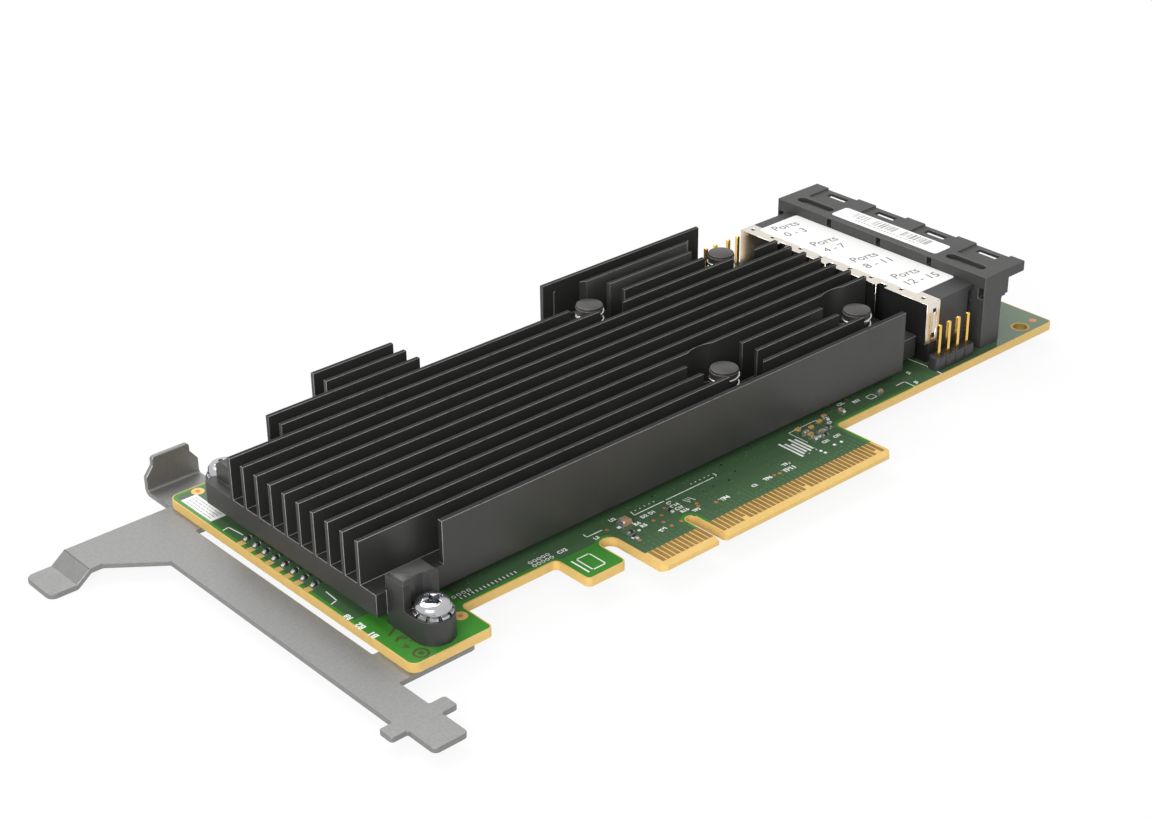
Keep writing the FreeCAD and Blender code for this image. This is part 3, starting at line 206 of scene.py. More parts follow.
def stroke(bm, start, end, width, z, thick=INK_THICK):
    """A thin printed line between two places (x, y)."""
    a, b = at(*start, z + thick / 2), at(*end, z + thick / 2)
    along = b - a
    turn = Matrix.Rotation(math.atan2(along.y, along.x), 4, "Z")
    size = Matrix.Diagonal((along.length + width * MM, width * MM, thick * MM, 1.0))
    bmesh.ops.create_cube(bm, size=1.0, matrix=Matrix.Translation((a + b) / 2) @ turn @ size)


def path(bm, places, width, z):
    """Strokes from place to place."""
    for start, end in zip(places, places[1:]):
        stroke(bm, start, end, width, z)


def ring(bm, x, y, inner, outer, z, thick=INK_THICK, steps=40):
    """A flat ring, its face at z + thick: an upright square spun full circle."""
    turn = Matrix.Rotation(math.radians(90), 4, "X")
    size = Matrix.Diagonal(((outer - inner) * MM, thick * MM, 1.0, 1.0))
    place = Matrix.Translation(at(x + (inner + outer) / 2, y, z + thick / 2)) @ turn @ size
    start = bmesh.ops.create_grid(bm, x_segments=1, y_segments=1, size=0.5, matrix=place)["verts"]
    bmesh.ops.delete(bm, geom=list(faces_of(start)), context="FACES_ONLY")
    edges = list({e for v in start for e in v.link_edges})
    bmesh.ops.spin(bm, geom=start + edges, cent=at(x, y, z), axis=(0, 0, 1), angle=math.tau,
                   steps=steps, use_merge=True)
    bmesh.ops.recalc_face_normals(bm, faces=bm.faces)


def outline(bm, x0, y0, x1, y1, width, z):
    """A rectangle in strokes."""
    path(bm, [(x0, y0), (x1, y0), (x1, y1), (x0, y1), (x0, y0)], width, z)


def letters(bm, words, x, y, height, z, turn=0.0, width=None, weight=0.0):
    """Words as thin closed letters; (x, y) is the lower left corner and turn is in degrees."""
    font = bpy.data.curves.new(words, "FONT")
    font.body = words
    font.resolution_u = 3
    font.offset = weight
    holder = bpy.data.objects.new(words, font)
    flat = bpy.data.meshes.new_from_object(holder)
    low = [min(v.co[i] for v in flat.vertices) for i in (0, 1)]
    high = [max(v.co[i] for v in flat.vertices) for i in (0, 1)]
    tall = height / (high[1] - low[1])
    wide = tall if width is None else width / (high[0] - low[0])
    flat.transform(Matrix.Translation(at(x, y, z)) @ Matrix.Rotation(math.radians(turn), 4, "Z")
                   @ Matrix.Diagonal((wide * MM, tall * MM, 1.0, 1.0))
                   @ Matrix.Translation((-low[0], -low[1], 0.0)))
    sheet = bmesh.new()
    sheet.from_mesh(flat)
    bmesh.ops.remove_doubles(sheet, verts=sheet.verts, dist=0.0005 * MM)
    thicken(sheet, INK_THICK)
    sheet.to_mesh(flat)
    sheet.free()
    bm.from_mesh(flat)
    bpy.data.objects.remove(holder)
    bpy.data.curves.remove(font)
    bpy.data.meshes.remove(flat)


# %% [markdown]
# ## Shader groups that several finishes share
# Real surfaces are never one even colour. `Drift` mixes a base colour with a second one in soft clouds,
# and `Grain` gives a fine roughness and a height for a bump. `EdgeSheenAndShade` changes the colour of the
# faces that the bevel marked, which paints a highlight on the edges where the colour is lighter and shade
# where it is darker. `CopperAndShade` changes that of the lacquer over solid copper, whose darker colour also
# paints the shade round the heatsink. Each is a group with named inputs, so one group serves many materials
# at different scales.

# %% Group builder
def group_with(name, inputs, outputs):
    """An empty node group with its named inputs and outputs."""
    tree = bpy.data.node_groups.new(name, "ShaderNodeTree")
    for label, kind, value in inputs:
        socket = tree.interface.new_socket(name=label, in_out="INPUT", socket_type=kind)
        socket.default_value = value
    for label, kind in outputs:
        tree.interface.new_socket(name=label, in_out="OUTPUT", socket_type=kind)
    return tree, tree.nodes.new("NodeGroupInput"), tree.nodes.new("NodeGroupOutput")


COLOR = "NodeSocketColor"
FLOAT = "NodeSocketFloat"
WHITE = (1.0, 1.0, 1.0, 1.0)


def feed(tree, value, socket):
    """Gives a socket another node's output or a plain number."""
    if isinstance(value, (int, float)):
        socket.default_value = value
    else:
        tree.links.new(value, socket)


def noise(tree, scale, detail=3.0):
    """Noise on Object coordinates; scale counts blobs per metre."""
    coord = tree.nodes.new("ShaderNodeTexCoord")
    texture = tree.nodes.new("ShaderNodeTexNoise")
    texture.inputs["Detail"].default_value = detail
    feed(tree, scale, texture.inputs["Scale"])
    tree.links.new(coord.outputs["Object"], texture.inputs["Vector"])
    return texture.outputs["Fac"]


def calculate(tree, operation, first, second):
    """Two values put together by an operation of the Math node."""
    node = tree.nodes.new("ShaderNodeMath")
    node.operation = operation
    feed(tree, first, node.inputs[0])
    feed(tree, second, node.inputs[1])
    return node.outputs["Value"]


def spread(tree, value, start, end, low=0.0, high=1.0):
    """A value that passes from low to high while another goes from start to end."""
    ramp = tree.nodes.new("ShaderNodeMapRange")
    ramp.inputs["From Min"].default_value = start
    ramp.inputs["From Max"].default_value = end
    feed(tree, value, ramp.inputs["Value"])
    feed(tree, low, ramp.inputs["To Min"])
    feed(tree, high, ramp.inputs["To Max"])
    return ramp.outputs["Result"]


def blend_of(tree, share, first, second):
    """A colour between two, by a share."""
    mix = tree.nodes.new("ShaderNodeMix")
    mix.data_type = "RGBA"
    tree.links.new(share, mix.inputs["Factor"])
    tree.links.new(first, mix.inputs["A"])
    tree.links.new(second, mix.inputs["B"])
    return mix.outputs["Result"]


# %% The groups
def make_drift_group():
    """A colour that drifts into a second one in clouds."""
    tree, given, result = group_with("Drift", [("Base", COLOR, WHITE), ("Cloud", COLOR, WHITE),
                                               ("Scale", FLOAT, 60.0), ("Amount", FLOAT, 0.5)],
                                     [("Color", COLOR)])
    clouds = spread(tree, noise(tree, given.outputs["Scale"], 4.0), 0.35, 0.65)
    share = calculate(tree, "MULTIPLY", clouds, given.outputs["Amount"])
    tree.links.new(blend_of(tree, share, given.outputs["Base"], given.outputs["Cloud"]),
                   result.inputs["Color"])
    return tree


def make_grain_group():
    """A fine change of roughness, and its height for a bump."""
    tree, given, result = group_with("Grain", [("Scale", FLOAT, 3000.0), ("Low", FLOAT, 0.4),
                                               ("High", FLOAT, 0.6)],
                                     [("Roughness", FLOAT), ("Height", FLOAT)])
    grain = noise(tree, given.outputs["Scale"], 2.0)
    rough = spread(tree, grain, 0.3, 0.7, given.outputs["Low"], given.outputs["High"])
    tree.links.new(rough, result.inputs["Roughness"])
    tree.links.new(grain, result.inputs["Height"])
    return tree


def make_marked_group(name, attribute, patch_scale, patch_from, patch_to):
    """Changes the colour of the marked faces, in patches where the noise passes from one to the other."""
    tree, given, result = group_with(name, [("Color", COLOR, WHITE), ("Marked", COLOR, WHITE),
                                            ("Amount", FLOAT, 0.5)], [("Color", COLOR)])
    marked = tree.nodes.new("ShaderNodeAttribute")
    marked.attribute_name = attribute
    patches = spread(tree, noise(tree, patch_scale), patch_from, patch_to)
    where = calculate(tree, "MULTIPLY", patches, marked.outputs["Fac"])
    share = calculate(tree, "MULTIPLY", where, given.outputs["Amount"])
    tree.links.new(blend_of(tree, share, given.outputs["Color"], given.outputs["Marked"]),
                   result.inputs["Color"])
    return tree


DRIFT = make_drift_group()
GRAIN = make_grain_group()
EDGE_SHEEN_AND_SHADE = make_marked_group("EdgeSheenAndShade", "edge", 700.0, 0.2, 0.45)
COPPER_AND_SHADE = make_marked_group("CopperAndShade", "copper_and_painted_shade", 30.0, 0.0, 0.2)
print("groups:", [group.name for group in bpy.data.node_groups])

# %% [markdown]
# ## One recipe for a finish
# Most finishes here differ only in their numbers: two colours that drift, a range of roughness, a grain
# that also dents the surface a little, and marked faces. `finish` wires the groups to a Principled
# shader in that order. A value that is the same all over goes on the shader's own socket. Scales count
# blobs per metre, and a dent is in millimetres.

# %% The finish recipe
def placed(tree, group, **values):
    """A group in a material, with values for its inputs."""
    node = tree.nodes.new("ShaderNodeGroup")
    node.node_tree = group
    for socket, value in values.items():
        node.inputs[socket].default_value = value
    return node


def finish(name, base, cloud, cloud_scale=60.0, cloud_amount=0.6, rough=(0.4, 0.6), grain=3000.0,
           dent=0.002, marked=None, marked_amount=0.6, marker=None, **constants):
    """A material from two drifting colours, a range of roughness, a grain and marked faces."""
    material = bpy.data.materials.new(name)
    material.use_nodes = True
    tree = material.node_tree
    shader = tree.nodes["Principled BSDF"]
    for socket, value in constants.items():
        shader.inputs[socket.replace("_", " ")].default_value = value
    drift = placed(tree, DRIFT, Base=(*base, 1.0), Cloud=(*cloud, 1.0), Scale=cloud_scale,
                   Amount=cloud_amount)
    surface = placed(tree, GRAIN, Scale=grain, Low=rough[0], High=rough[1])
    bump = tree.nodes.new("ShaderNodeBump")
    bump.inputs["Strength"].default_value = 0.5
    bump.inputs["Distance"].default_value = dent * MM
    color = drift.outputs["Color"]
    if marked is not None:
        change = placed(tree, marker or EDGE_SHEEN_AND_SHADE, Marked=(*marked, 1.0), Amount=marked_amount)
        tree.links.new(color, change.inputs["Color"])
        color = change.outputs["Color"]
    tree.links.new(color, shader.inputs["Base Color"])
    tree.links.new(surface.outputs["Roughness"], shader.inputs["Roughness"])
    tree.links.new(surface.outputs["Height"], bump.inputs["Height"])
    tree.links.new(bump.outputs["Normal"], shader.inputs["Normal"])
    return material


# %% Board finishes
LAMINATE = finish("laminate", (0.72, 0.48, 0.15), (0.62, 0.42, 0.13), 700.0, 0.5, (0.45, 0.6), 2500.0,
                  0.004)
# The second colour is the lacquer over copper, and it also paints the shade round the heatsink.
MASK = finish("solder_mask", (0.05, 0.24, 0.03), (0.06, 0.27, 0.038), 90.0, 0.6, (0.12, 0.18), 1500.0,
              0.0004, (0.064, 0.128, 0.06), 1.0, COPPER_AND_SHADE, Specular_IOR_Level=0.75)
TRACE = finish("covered_copper", (0.076, 0.15, 0.07), (0.086, 0.166, 0.078), 90.0, 0.6, (0.22, 0.32),
               1500.0, 0.0006)
ETCHED = finish("bare_gap_mark", (0.07, 0.08, 0.022), (0.09, 0.1, 0.03), 400.0, 0.5, (0.3, 0.4), 1500.0)
SILK = finish("silkscreen", (0.9, 0.92, 0.88), (0.78, 0.82, 0.76), 1500.0, 0.5, (0.5, 0.6), 4000.0)
GOLD_PADS = finish("gold_pads", (0.36, 0.22, 0.07), (0.46, 0.3, 0.1), 400.0, 0.6, (0.3, 0.42), 2500.0,
                   0.001, Metallic=0.8)
GOLD_RING = finish("gold_ring", (0.86, 0.57, 0.2), (0.78, 0.48, 0.14), 500.0, 0.6, (0.3, 0.4), 2500.0,
                   0.001, Metallic=0.4)
DULL_GOLD = finish("dull_gold", (0.4, 0.27, 0.06), (0.3, 0.2, 0.05), 700.0, 0.6, (0.35, 0.45), 2500.0,
                   0.001, Metallic=0.5)
COPPER = finish("bare_copper", (0.62, 0.24, 0.1), (0.5, 0.18, 0.07), 800.0, 0.5, (0.35, 0.45), 2500.0,
                0.001, Metallic=0.4)

# %% Metal finishes
PIN_GOLD = finish("pin_gold", (0.85, 0.52, 0.13), (0.92, 0.62, 0.2), 700.0, 0.5, (0.2, 0.3), 2500.0,
                  0.0006, Metallic=1.0)
# The marked colour is lighter than the black: a painted highlight on the heatsink's front edges.
ANODISED = finish("black_anodised", (0.024, 0.024, 0.023), (0.032, 0.032, 0.03), 120.0, 0.6,
                  (0.36, 0.46), 2600.0, 0.003, (0.22, 0.215, 0.21), 1.0, Specular_IOR_Level=0.5)
# A darker, duller black that paints shade: on the heatsink's top faces and on the back faces of the socket.
SHADE_BLACK = finish("painted_shade_black", (0.009, 0.009, 0.009), (0.014, 0.0135, 0.013), 300.0, 0.6,
                  (0.55, 0.7), 2600.0, 0.003, Specular_IOR_Level=0.2)
# Its marked colour is darker than the sheet: painted shade along the bracket's rounded edges.
ZINC = finish("zinc_sheet", (0.245, 0.245, 0.24), (0.195, 0.195, 0.19), 1800.0, 0.5, (0.4, 0.52), 2600.0,
              0.004, (0.2, 0.2, 0.195), 0.7, Metallic=0.7)
NICKEL = finish("warm_nickel", (0.78, 0.73, 0.65), (0.71, 0.66, 0.58), 60.0, 0.5, (0.16, 0.22), 300.0,
                0.0, (0.84, 0.8, 0.72), 0.6, Metallic=1.0)
SCREW_PLATE = finish("bright_nickel", (0.5, 0.5, 0.51), (0.4, 0.41, 0.43), 300.0, 0.5, (0.16, 0.24),
                     600.0, 0.0, Metallic=1.0)
# Painted shade with a bluish painted reflection, for the screws' cross recess.
RECESS_SHADE = finish("recess_painted_shade", (0.12, 0.13, 0.16), (0.2, 0.21, 0.24), 900.0, 0.6, (0.25, 0.35),
                      600.0, 0.0, Metallic=1.0)
WIRE_STEEL = finish("spring_wire", (0.62, 0.61, 0.59), (0.46, 0.46, 0.45), 600.0, 0.5,
                    (0.16, 0.26), 2000.0, 0.0005, Metallic=1.0)
# Its lighter marked colour paints a highlight on the caps' rounded edges.
PIN_STEEL = finish("pin_head", (0.04, 0.038, 0.034), (0.05, 0.047, 0.043), 500.0, 0.4, (0.3, 0.36), 2500.0,
                   0.0, (0.08, 0.078, 0.072), 0.8, Specular_IOR_Level=0.35)
TIN = finish("tin", (0.62, 0.62, 0.61), (0.5, 0.5, 0.5), 500.0, 0.6, (0.22, 0.36), 2500.0, 0.001,
             Metallic=0.9)

# %% Resin, paper and component finishes
BLACK_RESIN = finish("black_resin", (0.028, 0.028, 0.029), (0.038, 0.038, 0.038), 200.0, 0.5,
                     (0.42, 0.56), 3500.0, 0.004)
GREY_RESIN = finish("grey_resin", (0.036, 0.036, 0.035), (0.047, 0.047, 0.045), 160.0, 0.6,
                    (0.46, 0.6), 3500.0, 0.005, (0.09, 0.09, 0.09), 0.7)
PAPER = finish("label_paper", (0.86, 0.86, 0.85), (0.82, 0.82, 0.81), 150.0, 0.5, (0.4, 0.5), 4000.0)
INK = finish("label_ink", (0.1, 0.1, 0.105), (0.17, 0.17, 0.17), 900.0, 0.6, (0.4, 0.5), 4000.0)
PALE_INK = finish("label_pale_ink", (0.26, 0.26, 0.26), (0.36, 0.36, 0.36), 900.0, 0.6, (0.4, 0.5), 4000.0)
TAN_CERAMIC = finish("tan_ceramic", (0.34, 0.22, 0.12), (0.42, 0.28, 0.16), 900.0, 0.6, (0.35, 0.5),
                     3000.0, 0.003)
EPOXY = finish("chip_epoxy", (0.024, 0.024, 0.026), (0.036, 0.036, 0.037), 400.0, 0.6, (0.45, 0.6),
               4000.0, 0.006)
FILM = finish("resistor_film", (0.02, 0.02, 0.022), (0.03, 0.03, 0.035), 900.0, 0.5, (0.25, 0.35),
              3000.0, 0.001)
THERMAL_PAD = finish("thermal_pad", (0.3, 0.33, 0.36), (0.36, 0.39, 0.42), 500.0, 0.6, (0.6, 0.75),
                     3000.0, 0.01)
PRESSED_POWDER = finish("pressed_powder", (0.06, 0.06, 0.065), (0.09, 0.09, 0.095), 700.0, 0.6,
                        (0.5, 0.65), 3500.0, 0.015)
TANTALUM = finish("yellow_epoxy", (0.6, 0.36, 0.04), (0.66, 0.42, 0.07), 500.0, 0.5, (0.4, 0.5), 3000.0,
                  0.003)
print("materials:", len(bpy.data.materials))

# %% [markdown]
# ## The board: bare laminate under a green mask
# The lacquer on a circuit board stops short of its edge, so a narrow rim of bare laminate runs all round,
# and the gold contacts stand in bare laminate too. The board itself therefore stays laminate. The mask is
# made by taking the board's own face, insetting it, cutting it off behind the contacts and giving it the
# thickness of the lacquer. Under most of the lacquer lies a sheet of copper, which makes it look darker and
# greyer; that darker colour also paints the shade that falls on the board round the heatsink. That sheet
# keeps its distance from every edge, so a second inset marks it.

# %% Solder mask on both faces
RIM = 0.22                 # bare laminate along every edge
MASK_THICK = 0.03
MASK_START_Y = 4.62        # where the contacts end
POUR_BACK = 0.6            # from the lacquer's edge to the copper sheet
FOOT_END_X = 15.6          # no copper colour and no painted shade on the foot and the keying tab
FOOT_END_Y = 20.0
TAB_X = (32.6, 41.4)
TAB_END_Y = 12.0
CONTACTS_X = (43.4, 55.0)  # here the copper colour comes right up to the contacts
WIDE_POUR_X = 118.0        # behind the heatsink the copper colour, with its painted shade, runs right to the edge
# Each cut runs the whole way along one x or one y.
CUTS = ((FOOT_END_X, None), (None, FOOT_END_Y), (TAB_X[0], None), (TAB_X[1], None),
        (CONTACTS_X[0], None), (CONTACTS_X[1], None), (None, TAB_END_Y), (WIDE_POUR_X, None))
SINK_IN = 0.006            # print and copper start this far inside the lacquer


def cut(bm, place, direction, clear=False):
    """Cuts every face along a plane, and clears what lies before it if asked."""
    everything = bm.verts[:] + bm.edges[:] + bm.faces[:]
    bmesh.ops.bisect_plane(bm, geom=everything, plane_co=place, plane_no=direction, clear_inner=clear)


def copper_shade_at(place):
    """Whether the copper colour, which also paints shade, goes on a place: True, False, or None where the
    distance to the edge tells.
    """
    on_foot = place.x < FOOT_END_X and place.y < FOOT_END_Y
    on_tab = TAB_X[0] < place.x < TAB_X[1] and place.y < TAB_END_Y
    by_contacts = CONTACTS_X[0] < place.x < CONTACTS_X[1] and place.y < TAB_END_Y
    if on_foot or on_tab:
        return False
    return True if by_contacts or place.x > WIDE_POUR_X else None


def board_face(up):
    """One face of the board as a flat sheet."""
    bm = merged_copy("circuit_board")
    height = at(0, 0, 0 if up > 0 else -BOARD_THICK).z
    other = [f for f in bm.faces
             if f.normal.z * up < 0.99 or abs(f.calc_center_median().z - height) > 0.01 * MM]
    bmesh.ops.delete(bm, geom=other, context="FACES")
    bmesh.ops.dissolve_limit(bm, angle_limit=FLAT, verts=bm.verts, edges=bm.edges)
    return bm


def mask_of_face(up):
    """The lacquer on the component face (up = 1) or on the underside (up = -1)."""
    bm = board_face(up)
    # This layer marks where the darker copper colour goes, which also paints the shade round the heatsink.
    copper_shade_layer = bm.faces.layers.float.new("copper_and_painted_shade")
    rim = bmesh.ops.inset_region(bm, faces=bm.faces, thickness=RIM * MM, use_boundary=True,
                                 use_even_offset=True)
    bmesh.ops.delete(bm, geom=rim["faces"], context="FACES")
    for face in bm.faces:
        face[copper_shade_layer] = 1.0
    near_edge = bmesh.ops.inset_region(bm, faces=bm.faces, thickness=POUR_BACK * MM, use_boundary=True,
                                       use_even_offset=True)
    for face in near_edge["faces"]:
        face[copper_shade_layer] = 0.0
    cut(bm, at(0, MASK_START_Y), (0, 1, 0), clear=True)
    for x, y in CUTS:
        cut(bm, at(x or 0, y or 0), (1, 0, 0) if y is None else (0, 1, 0))
    for face in bm.faces:
        sheet = copper_shade_at((face.calc_center_bounds() - at(0, 0)) / MM)
        if sheet is not None:
            face[copper_shade_layer] = float(sheet)
    inner = [e for e in bm.edges if len(e.link_faces) == 2
             and e.link_faces[0][copper_shade_layer] == e.link_faces[1][copper_shade_layer]]
    bmesh.ops.dissolve_limit(bm, angle_limit=FLAT, verts=[], edges=inner)
    bmesh.ops.triangulate(bm, faces=bm.faces[:], quad_method="BEAUTY", ngon_method="BEAUTY")
    thicken(bm, up * MASK_THICK)
    return bm


for name, up in (("solder_mask_top", 1), ("solder_mask_bottom", -1)):
    bm = mask_of_face(up)
    print(name, "open edges:", sum(1 for e in bm.edges if len(e.link_faces) != 2))
    add_piece(name, bm, MASK, sharp=0.0)
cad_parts["circuit_board"].material_slots[0].material = LAMINATE
TOP = MASK_THICK - SINK_IN
BOTTOM = -BOARD_THICK - MASK_THICK - SINK_IN

# %% [markdown]
# ## Copper under and beside the lacquer
# Each contact's track runs a short way up the board before it dives into an inner layer through a via.
# Under the lacquer a track shows as a faint lighter line and a via as a small ring. Where the lacquer is
# open, the metal itself shows: gold round the fixing holes and along the left edge, copper on the test
# points. All of these are thin closed shapes that start a hair inside the lacquer.

# %% Tracks and vias
random.seed(41)
TRACK_WIDTH = 0.16
VIA_R = 0.28
PAD_PITCH = 1.0
PAD_RUNS = ((45.35, 11), (58.4, 38))       # first pad's centre and how many
REACHES = (0.0, 0.9, 1.8, 3.4, 5.2)        # how far past the shortest track the others go
SHORTEST_END_Y = 5.6
BEND_FROM_Y = 6.6
BENDS = (-0.5, 0.0, 0.5)
LOOSE_VIA_SHARE = 0.85     # of VIA_R


def tracks(up):
    """Tracks from every contact to its via, on one face."""
    bm = bmesh.new()
    z = TOP if up else BOTTOM
    for first, count in PAD_RUNS:
        for index in range(count):
            x = first + index * PAD_PITCH
            reach = SHORTEST_END_Y + random.choice(REACHES)
            bend = random.choice(BENDS) if reach > BEND_FROM_Y else 0.0
            path(bm, [(x, MASK_START_Y + 0.1), (x, reach - abs(bend)), (x + bend, reach)], TRACK_WIDTH, z)
            disc(bm, x + bend, reach + VIA_R, z, VIA_R, 10)
    return bm


def via_field(up, areas):
    """Loose vias in the open parts of one face."""
    bm = bmesh.new()
    z = TOP if up else BOTTOM
    for x0, y0, x1, y1, count in areas:
        for _ in range(count):
            disc(bm, random.uniform(x0, x1), random.uniform(y0, y1), z, VIA_R * LOOSE_VIA_SHARE, 8)
    return bm


# Each area is its lower left corner, its upper right one and how many vias it has.
TOP_AREAS = ((10.5, 16, 33, 17.2, 7), (57, 10.5, 82, 16.5, 46), (98, 17, 121, 20, 26),
             (140, 18, 154, 66, 60), (45, 15.4, 80, 16.4, 22))
UNDER_AREAS = ((14, 18, 60, 65, 130), (60, 14, 118, 66, 220), (120, 22, 154, 66, 70))
add_piece("tracks_top", tracks(True), TRACE, sharp=0.0)
add_piece("tracks_bottom", tracks(False), TRACE, sharp=0.0)
add_piece("vias_top", via_field(True, TOP_AREAS), TRACE, sharp=0.0)
add_piece("vias_bottom", via_field(False, UNDER_AREAS), TRACE, sharp=0.0)

# %% Gold rings and edge pads
GOLD_SPOTS = ((12.96, 10.4, 1.15), (4.5, 67.2, 1.1), (153.2, 66.0, 1.0))
bm = bmesh.new()
for x, y, radius in GOLD_SPOTS:
    disc(bm, x, y, TOP, radius, 28)
    disc(bm, x, y, BOTTOM, radius, 28)
EDGE_PAD_COUNT = 8
EDGE_PAD_PITCH = 2.54
EDGE_PAD_FIRST_Y = 31.3
EDGE_PAD_HALF = 0.62
for index in range(EDGE_PAD_COUNT):
    y = EDGE_PAD_FIRST_Y + index * EDGE_PAD_PITCH
    slab(bm, (0.03, y - EDGE_PAD_HALF, 0.0), (1.25, y + EDGE_PAD_HALF, MASK_THICK + 0.01))
print("gold faces:", len(bm.faces))
add_piece("gold_lands", bm, GOLD_RING)

# %% Plated corner hole
HOLE = (149.3, 14.9)
HOLE_R = 1.3
LAND_WIDTH = 0.5
bm = bmesh.new()
for z in (TOP, BOTTOM):
    ring(bm, *HOLE, HOLE_R + 0.02, HOLE_R + LAND_WIDTH, z, 0.02)
ring(bm, *HOLE, HOLE_R - 0.04, HOLE_R + 0.01, -BOARD_THICK, BOARD_THICK)
add_piece("hole_plating", bm, DULL_GOLD, sharp=60.0)

# %% Copper test points
TEST_POINTS = (
    (44.82, 13.62), (52.11, 10.74), (52.93, 9.35), (53.14, 7.74), (56.02, 12.39), (54.16, 11.06),
    (46.53, 7.96), (60.76, 9.95), (55.2, 7.72), (60.4, 9.2), (63.3, 8.1), (76.3, 7.75), (77.4, 7.6),
    (100.5, 18.2), (104.4, 17.4), (153.2, 15.0),
)
TEST_POINT_R = 0.34
SPOT_CORE_R = 0.42         # the bare middle of a gold spot
LARGE_POINT_R = 0.75
bm = bmesh.new()
for x, y in TEST_POINTS:
    disc(bm, x, y, TOP + 0.004, TEST_POINT_R, 14)
for x, y, _ in GOLD_SPOTS[:2]:
    disc(bm, x, y, TOP + 0.014, SPOT_CORE_R, 16)
disc(bm, *TEST_POINTS[-1], TOP + 0.005, LARGE_POINT_R, 20)
add_piece("test_points", bm, COPPER)

# %% [markdown]
# ## White print on the board
# The print names test points and parts with a letter and a number, outlines their places and marks pin
# one. It is made of thin strokes and of letters from Blender's own font, each turned into a mesh before it
# is put in its place. The names here are plain letters and counts that stand for no product.

# %% Silkscreen
PRINT_Z = TOP
NAMES = (
    ("TP1", 50.6, 7.25, 0.8, 12), ("TP4", 64.1, 7.6, 0.95, 0), ("TP6", 73.9, 7.35, 0.85, 0),
    ("TP11", 78.2, 7.05, 1.0, 0), ("C2", 71.0, 7.3, 0.7, 0), ("C12", 34.7, 13.3, 0.85, 0),
    ("R4", 49.0, 11.4, 0.85, 0), ("R5", 49.4, 10.3, 0.85, 0), ("C7", 57.1, 12.6, 0.75, 0),
    ("C14", 56.9, 11.5, 0.8, 0), ("C15", 56.9, 10.4, 0.8, 0), ("R16", 57.1, 9.3, 0.8, 0),
    ("TP2", 58.6, 8.2, 0.7, 0), ("U2", 46.9, 14.9, 0.8, 0), ("L3", 41.6, 12.6, 0.8, 0),
    ("TP3", 79.6, 8.6, 0.8, 0), ("D2", 51.3, 12.3, 0.8, 0), ("D1", 53.0, 12.3, 0.8, 0),
    ("C31", 90.0, 9.4, 0.75, 0), ("C32", 92.8, 9.4, 0.75, 0), ("J5", 117.8, 12.9, 1.0, 0),
    ("R51", 104.5, 15.5, 0.8, 0), ("C52", 101.6, 16.6, 0.8, 0), ("J2", 119.6, 16.2, 1.0, 0),
    ("B1", 1.2, 14.3, 1.2, 90), ("B2", 1.2, 17.4, 1.2, 90), ("R8", 1.2, 20.6, 1.0, 90),
    ("R9", 93.0, 12.3, 0.7, 0), ("C9", 95.6, 13.4, 0.7, 0), ("TP9", 90.6, 11.2, 0.7, 0),
)
bm = bmesh.new()
for words, x, y, height, turn in NAMES:
    letters(bm, words, x, y, height, PRINT_Z, turn, weight=0.042)
print("letters:", len(bm.faces), "faces")

# %% Outlines of places
LINE = 0.19
path(bm, [(51.26, 15.03), (51.02, 14.0), (69.35, 13.95), (69.4, 14.85)], LINE, PRINT_Z)
for x0 in (52.1, 64.4):
    for index in range(5):
        disc(bm, x0 + index * 1.0, 14.93, PRINT_Z, 0.13, 8)
path(bm, [(41.2, 15.0), (41.1, 14.15), (44.2, 14.1)], LINE, PRINT_Z)
for index in range(3):
    stroke(bm, (59.9 + index * 0.55, 12.2), (60.3 + index * 0.55, 10.9), 0.14, PRINT_Z)
for index in range(5):                               # two rows of small outlined places
    x = 29.6 + index * 0.86
    for y in (13.15, 14.15):
        outline(bm, x, y, x + 0.5, y + 0.62, 0.16, PRINT_Z)
for index in range(15):                              # ticks behind the front band
    x = 16.0 + index * 0.75
    stroke(bm, (x, 13.75), (x, 14.25), 0.16, PRINT_Z)
for index in range(4):
    outline(bm, 15.1 + index * 0.95, 14.65, 15.6 + index * 0.95, 15.25, 0.13, PRINT_Z)
path(bm, [(0.8, 54.2), (1.9, 54.4), (2.3, 51.0)], LINE, PRINT_Z)
path(bm, [(2.3, 28.9), (2.1, 26.0), (0.95, 25.7)], LINE, PRINT_Z)
path(bm, [(124.2, 20.9), (124.4, 16.3), (124.1, 12.6)], LINE, PRINT_Z)
path(bm, [(114.8, 15.0), (116.9, 15.0), (116.9, 12.6)], LINE, PRINT_Z)
outline(bm, 107.6, 14.6, 109.2, 15.8, 0.13, PRINT_Z)
path(bm, [(88.3, 11.6), (88.3, 15.9), (95.0, 15.9)], 0.13, PRINT_Z)

# %% Plain bars where the board carries a printed mark, and a frame on the tab
for index in range(5):
    x = 84.3 + index * 0.8
    stroke(bm, (x, 9.0 + 0.5 * (index % 2)), (x, 14.2 - 0.7 * (index % 3)), 0.42, PRINT_Z)
outline(bm, 35.6, 6.6, 38.2, 10.4, 0.22, PRINT_Z)
stroke(bm, (34.7, 6.6), (34.7, 10.4), 0.3, PRINT_Z)
for x, y in ((92.6, 7.9), (87.8, 8.1), (87.9, 7.2), (91.0, 8.0)):
    disc(bm, x, y, PRINT_Z, 0.3, 12)
for x, y, wide, deep in ((46.4, 12.6, 0.9, 0.6), (46.0, 8.9, 0.7, 0.5), (48.2, 9.9, 0.5, 0.5)):
    slab(bm, (x, y, PRINT_Z), (x + wide, y + deep, PRINT_Z + INK_THICK))
add_piece("silkscreen_top", bm, SILK, sharp=0.0)

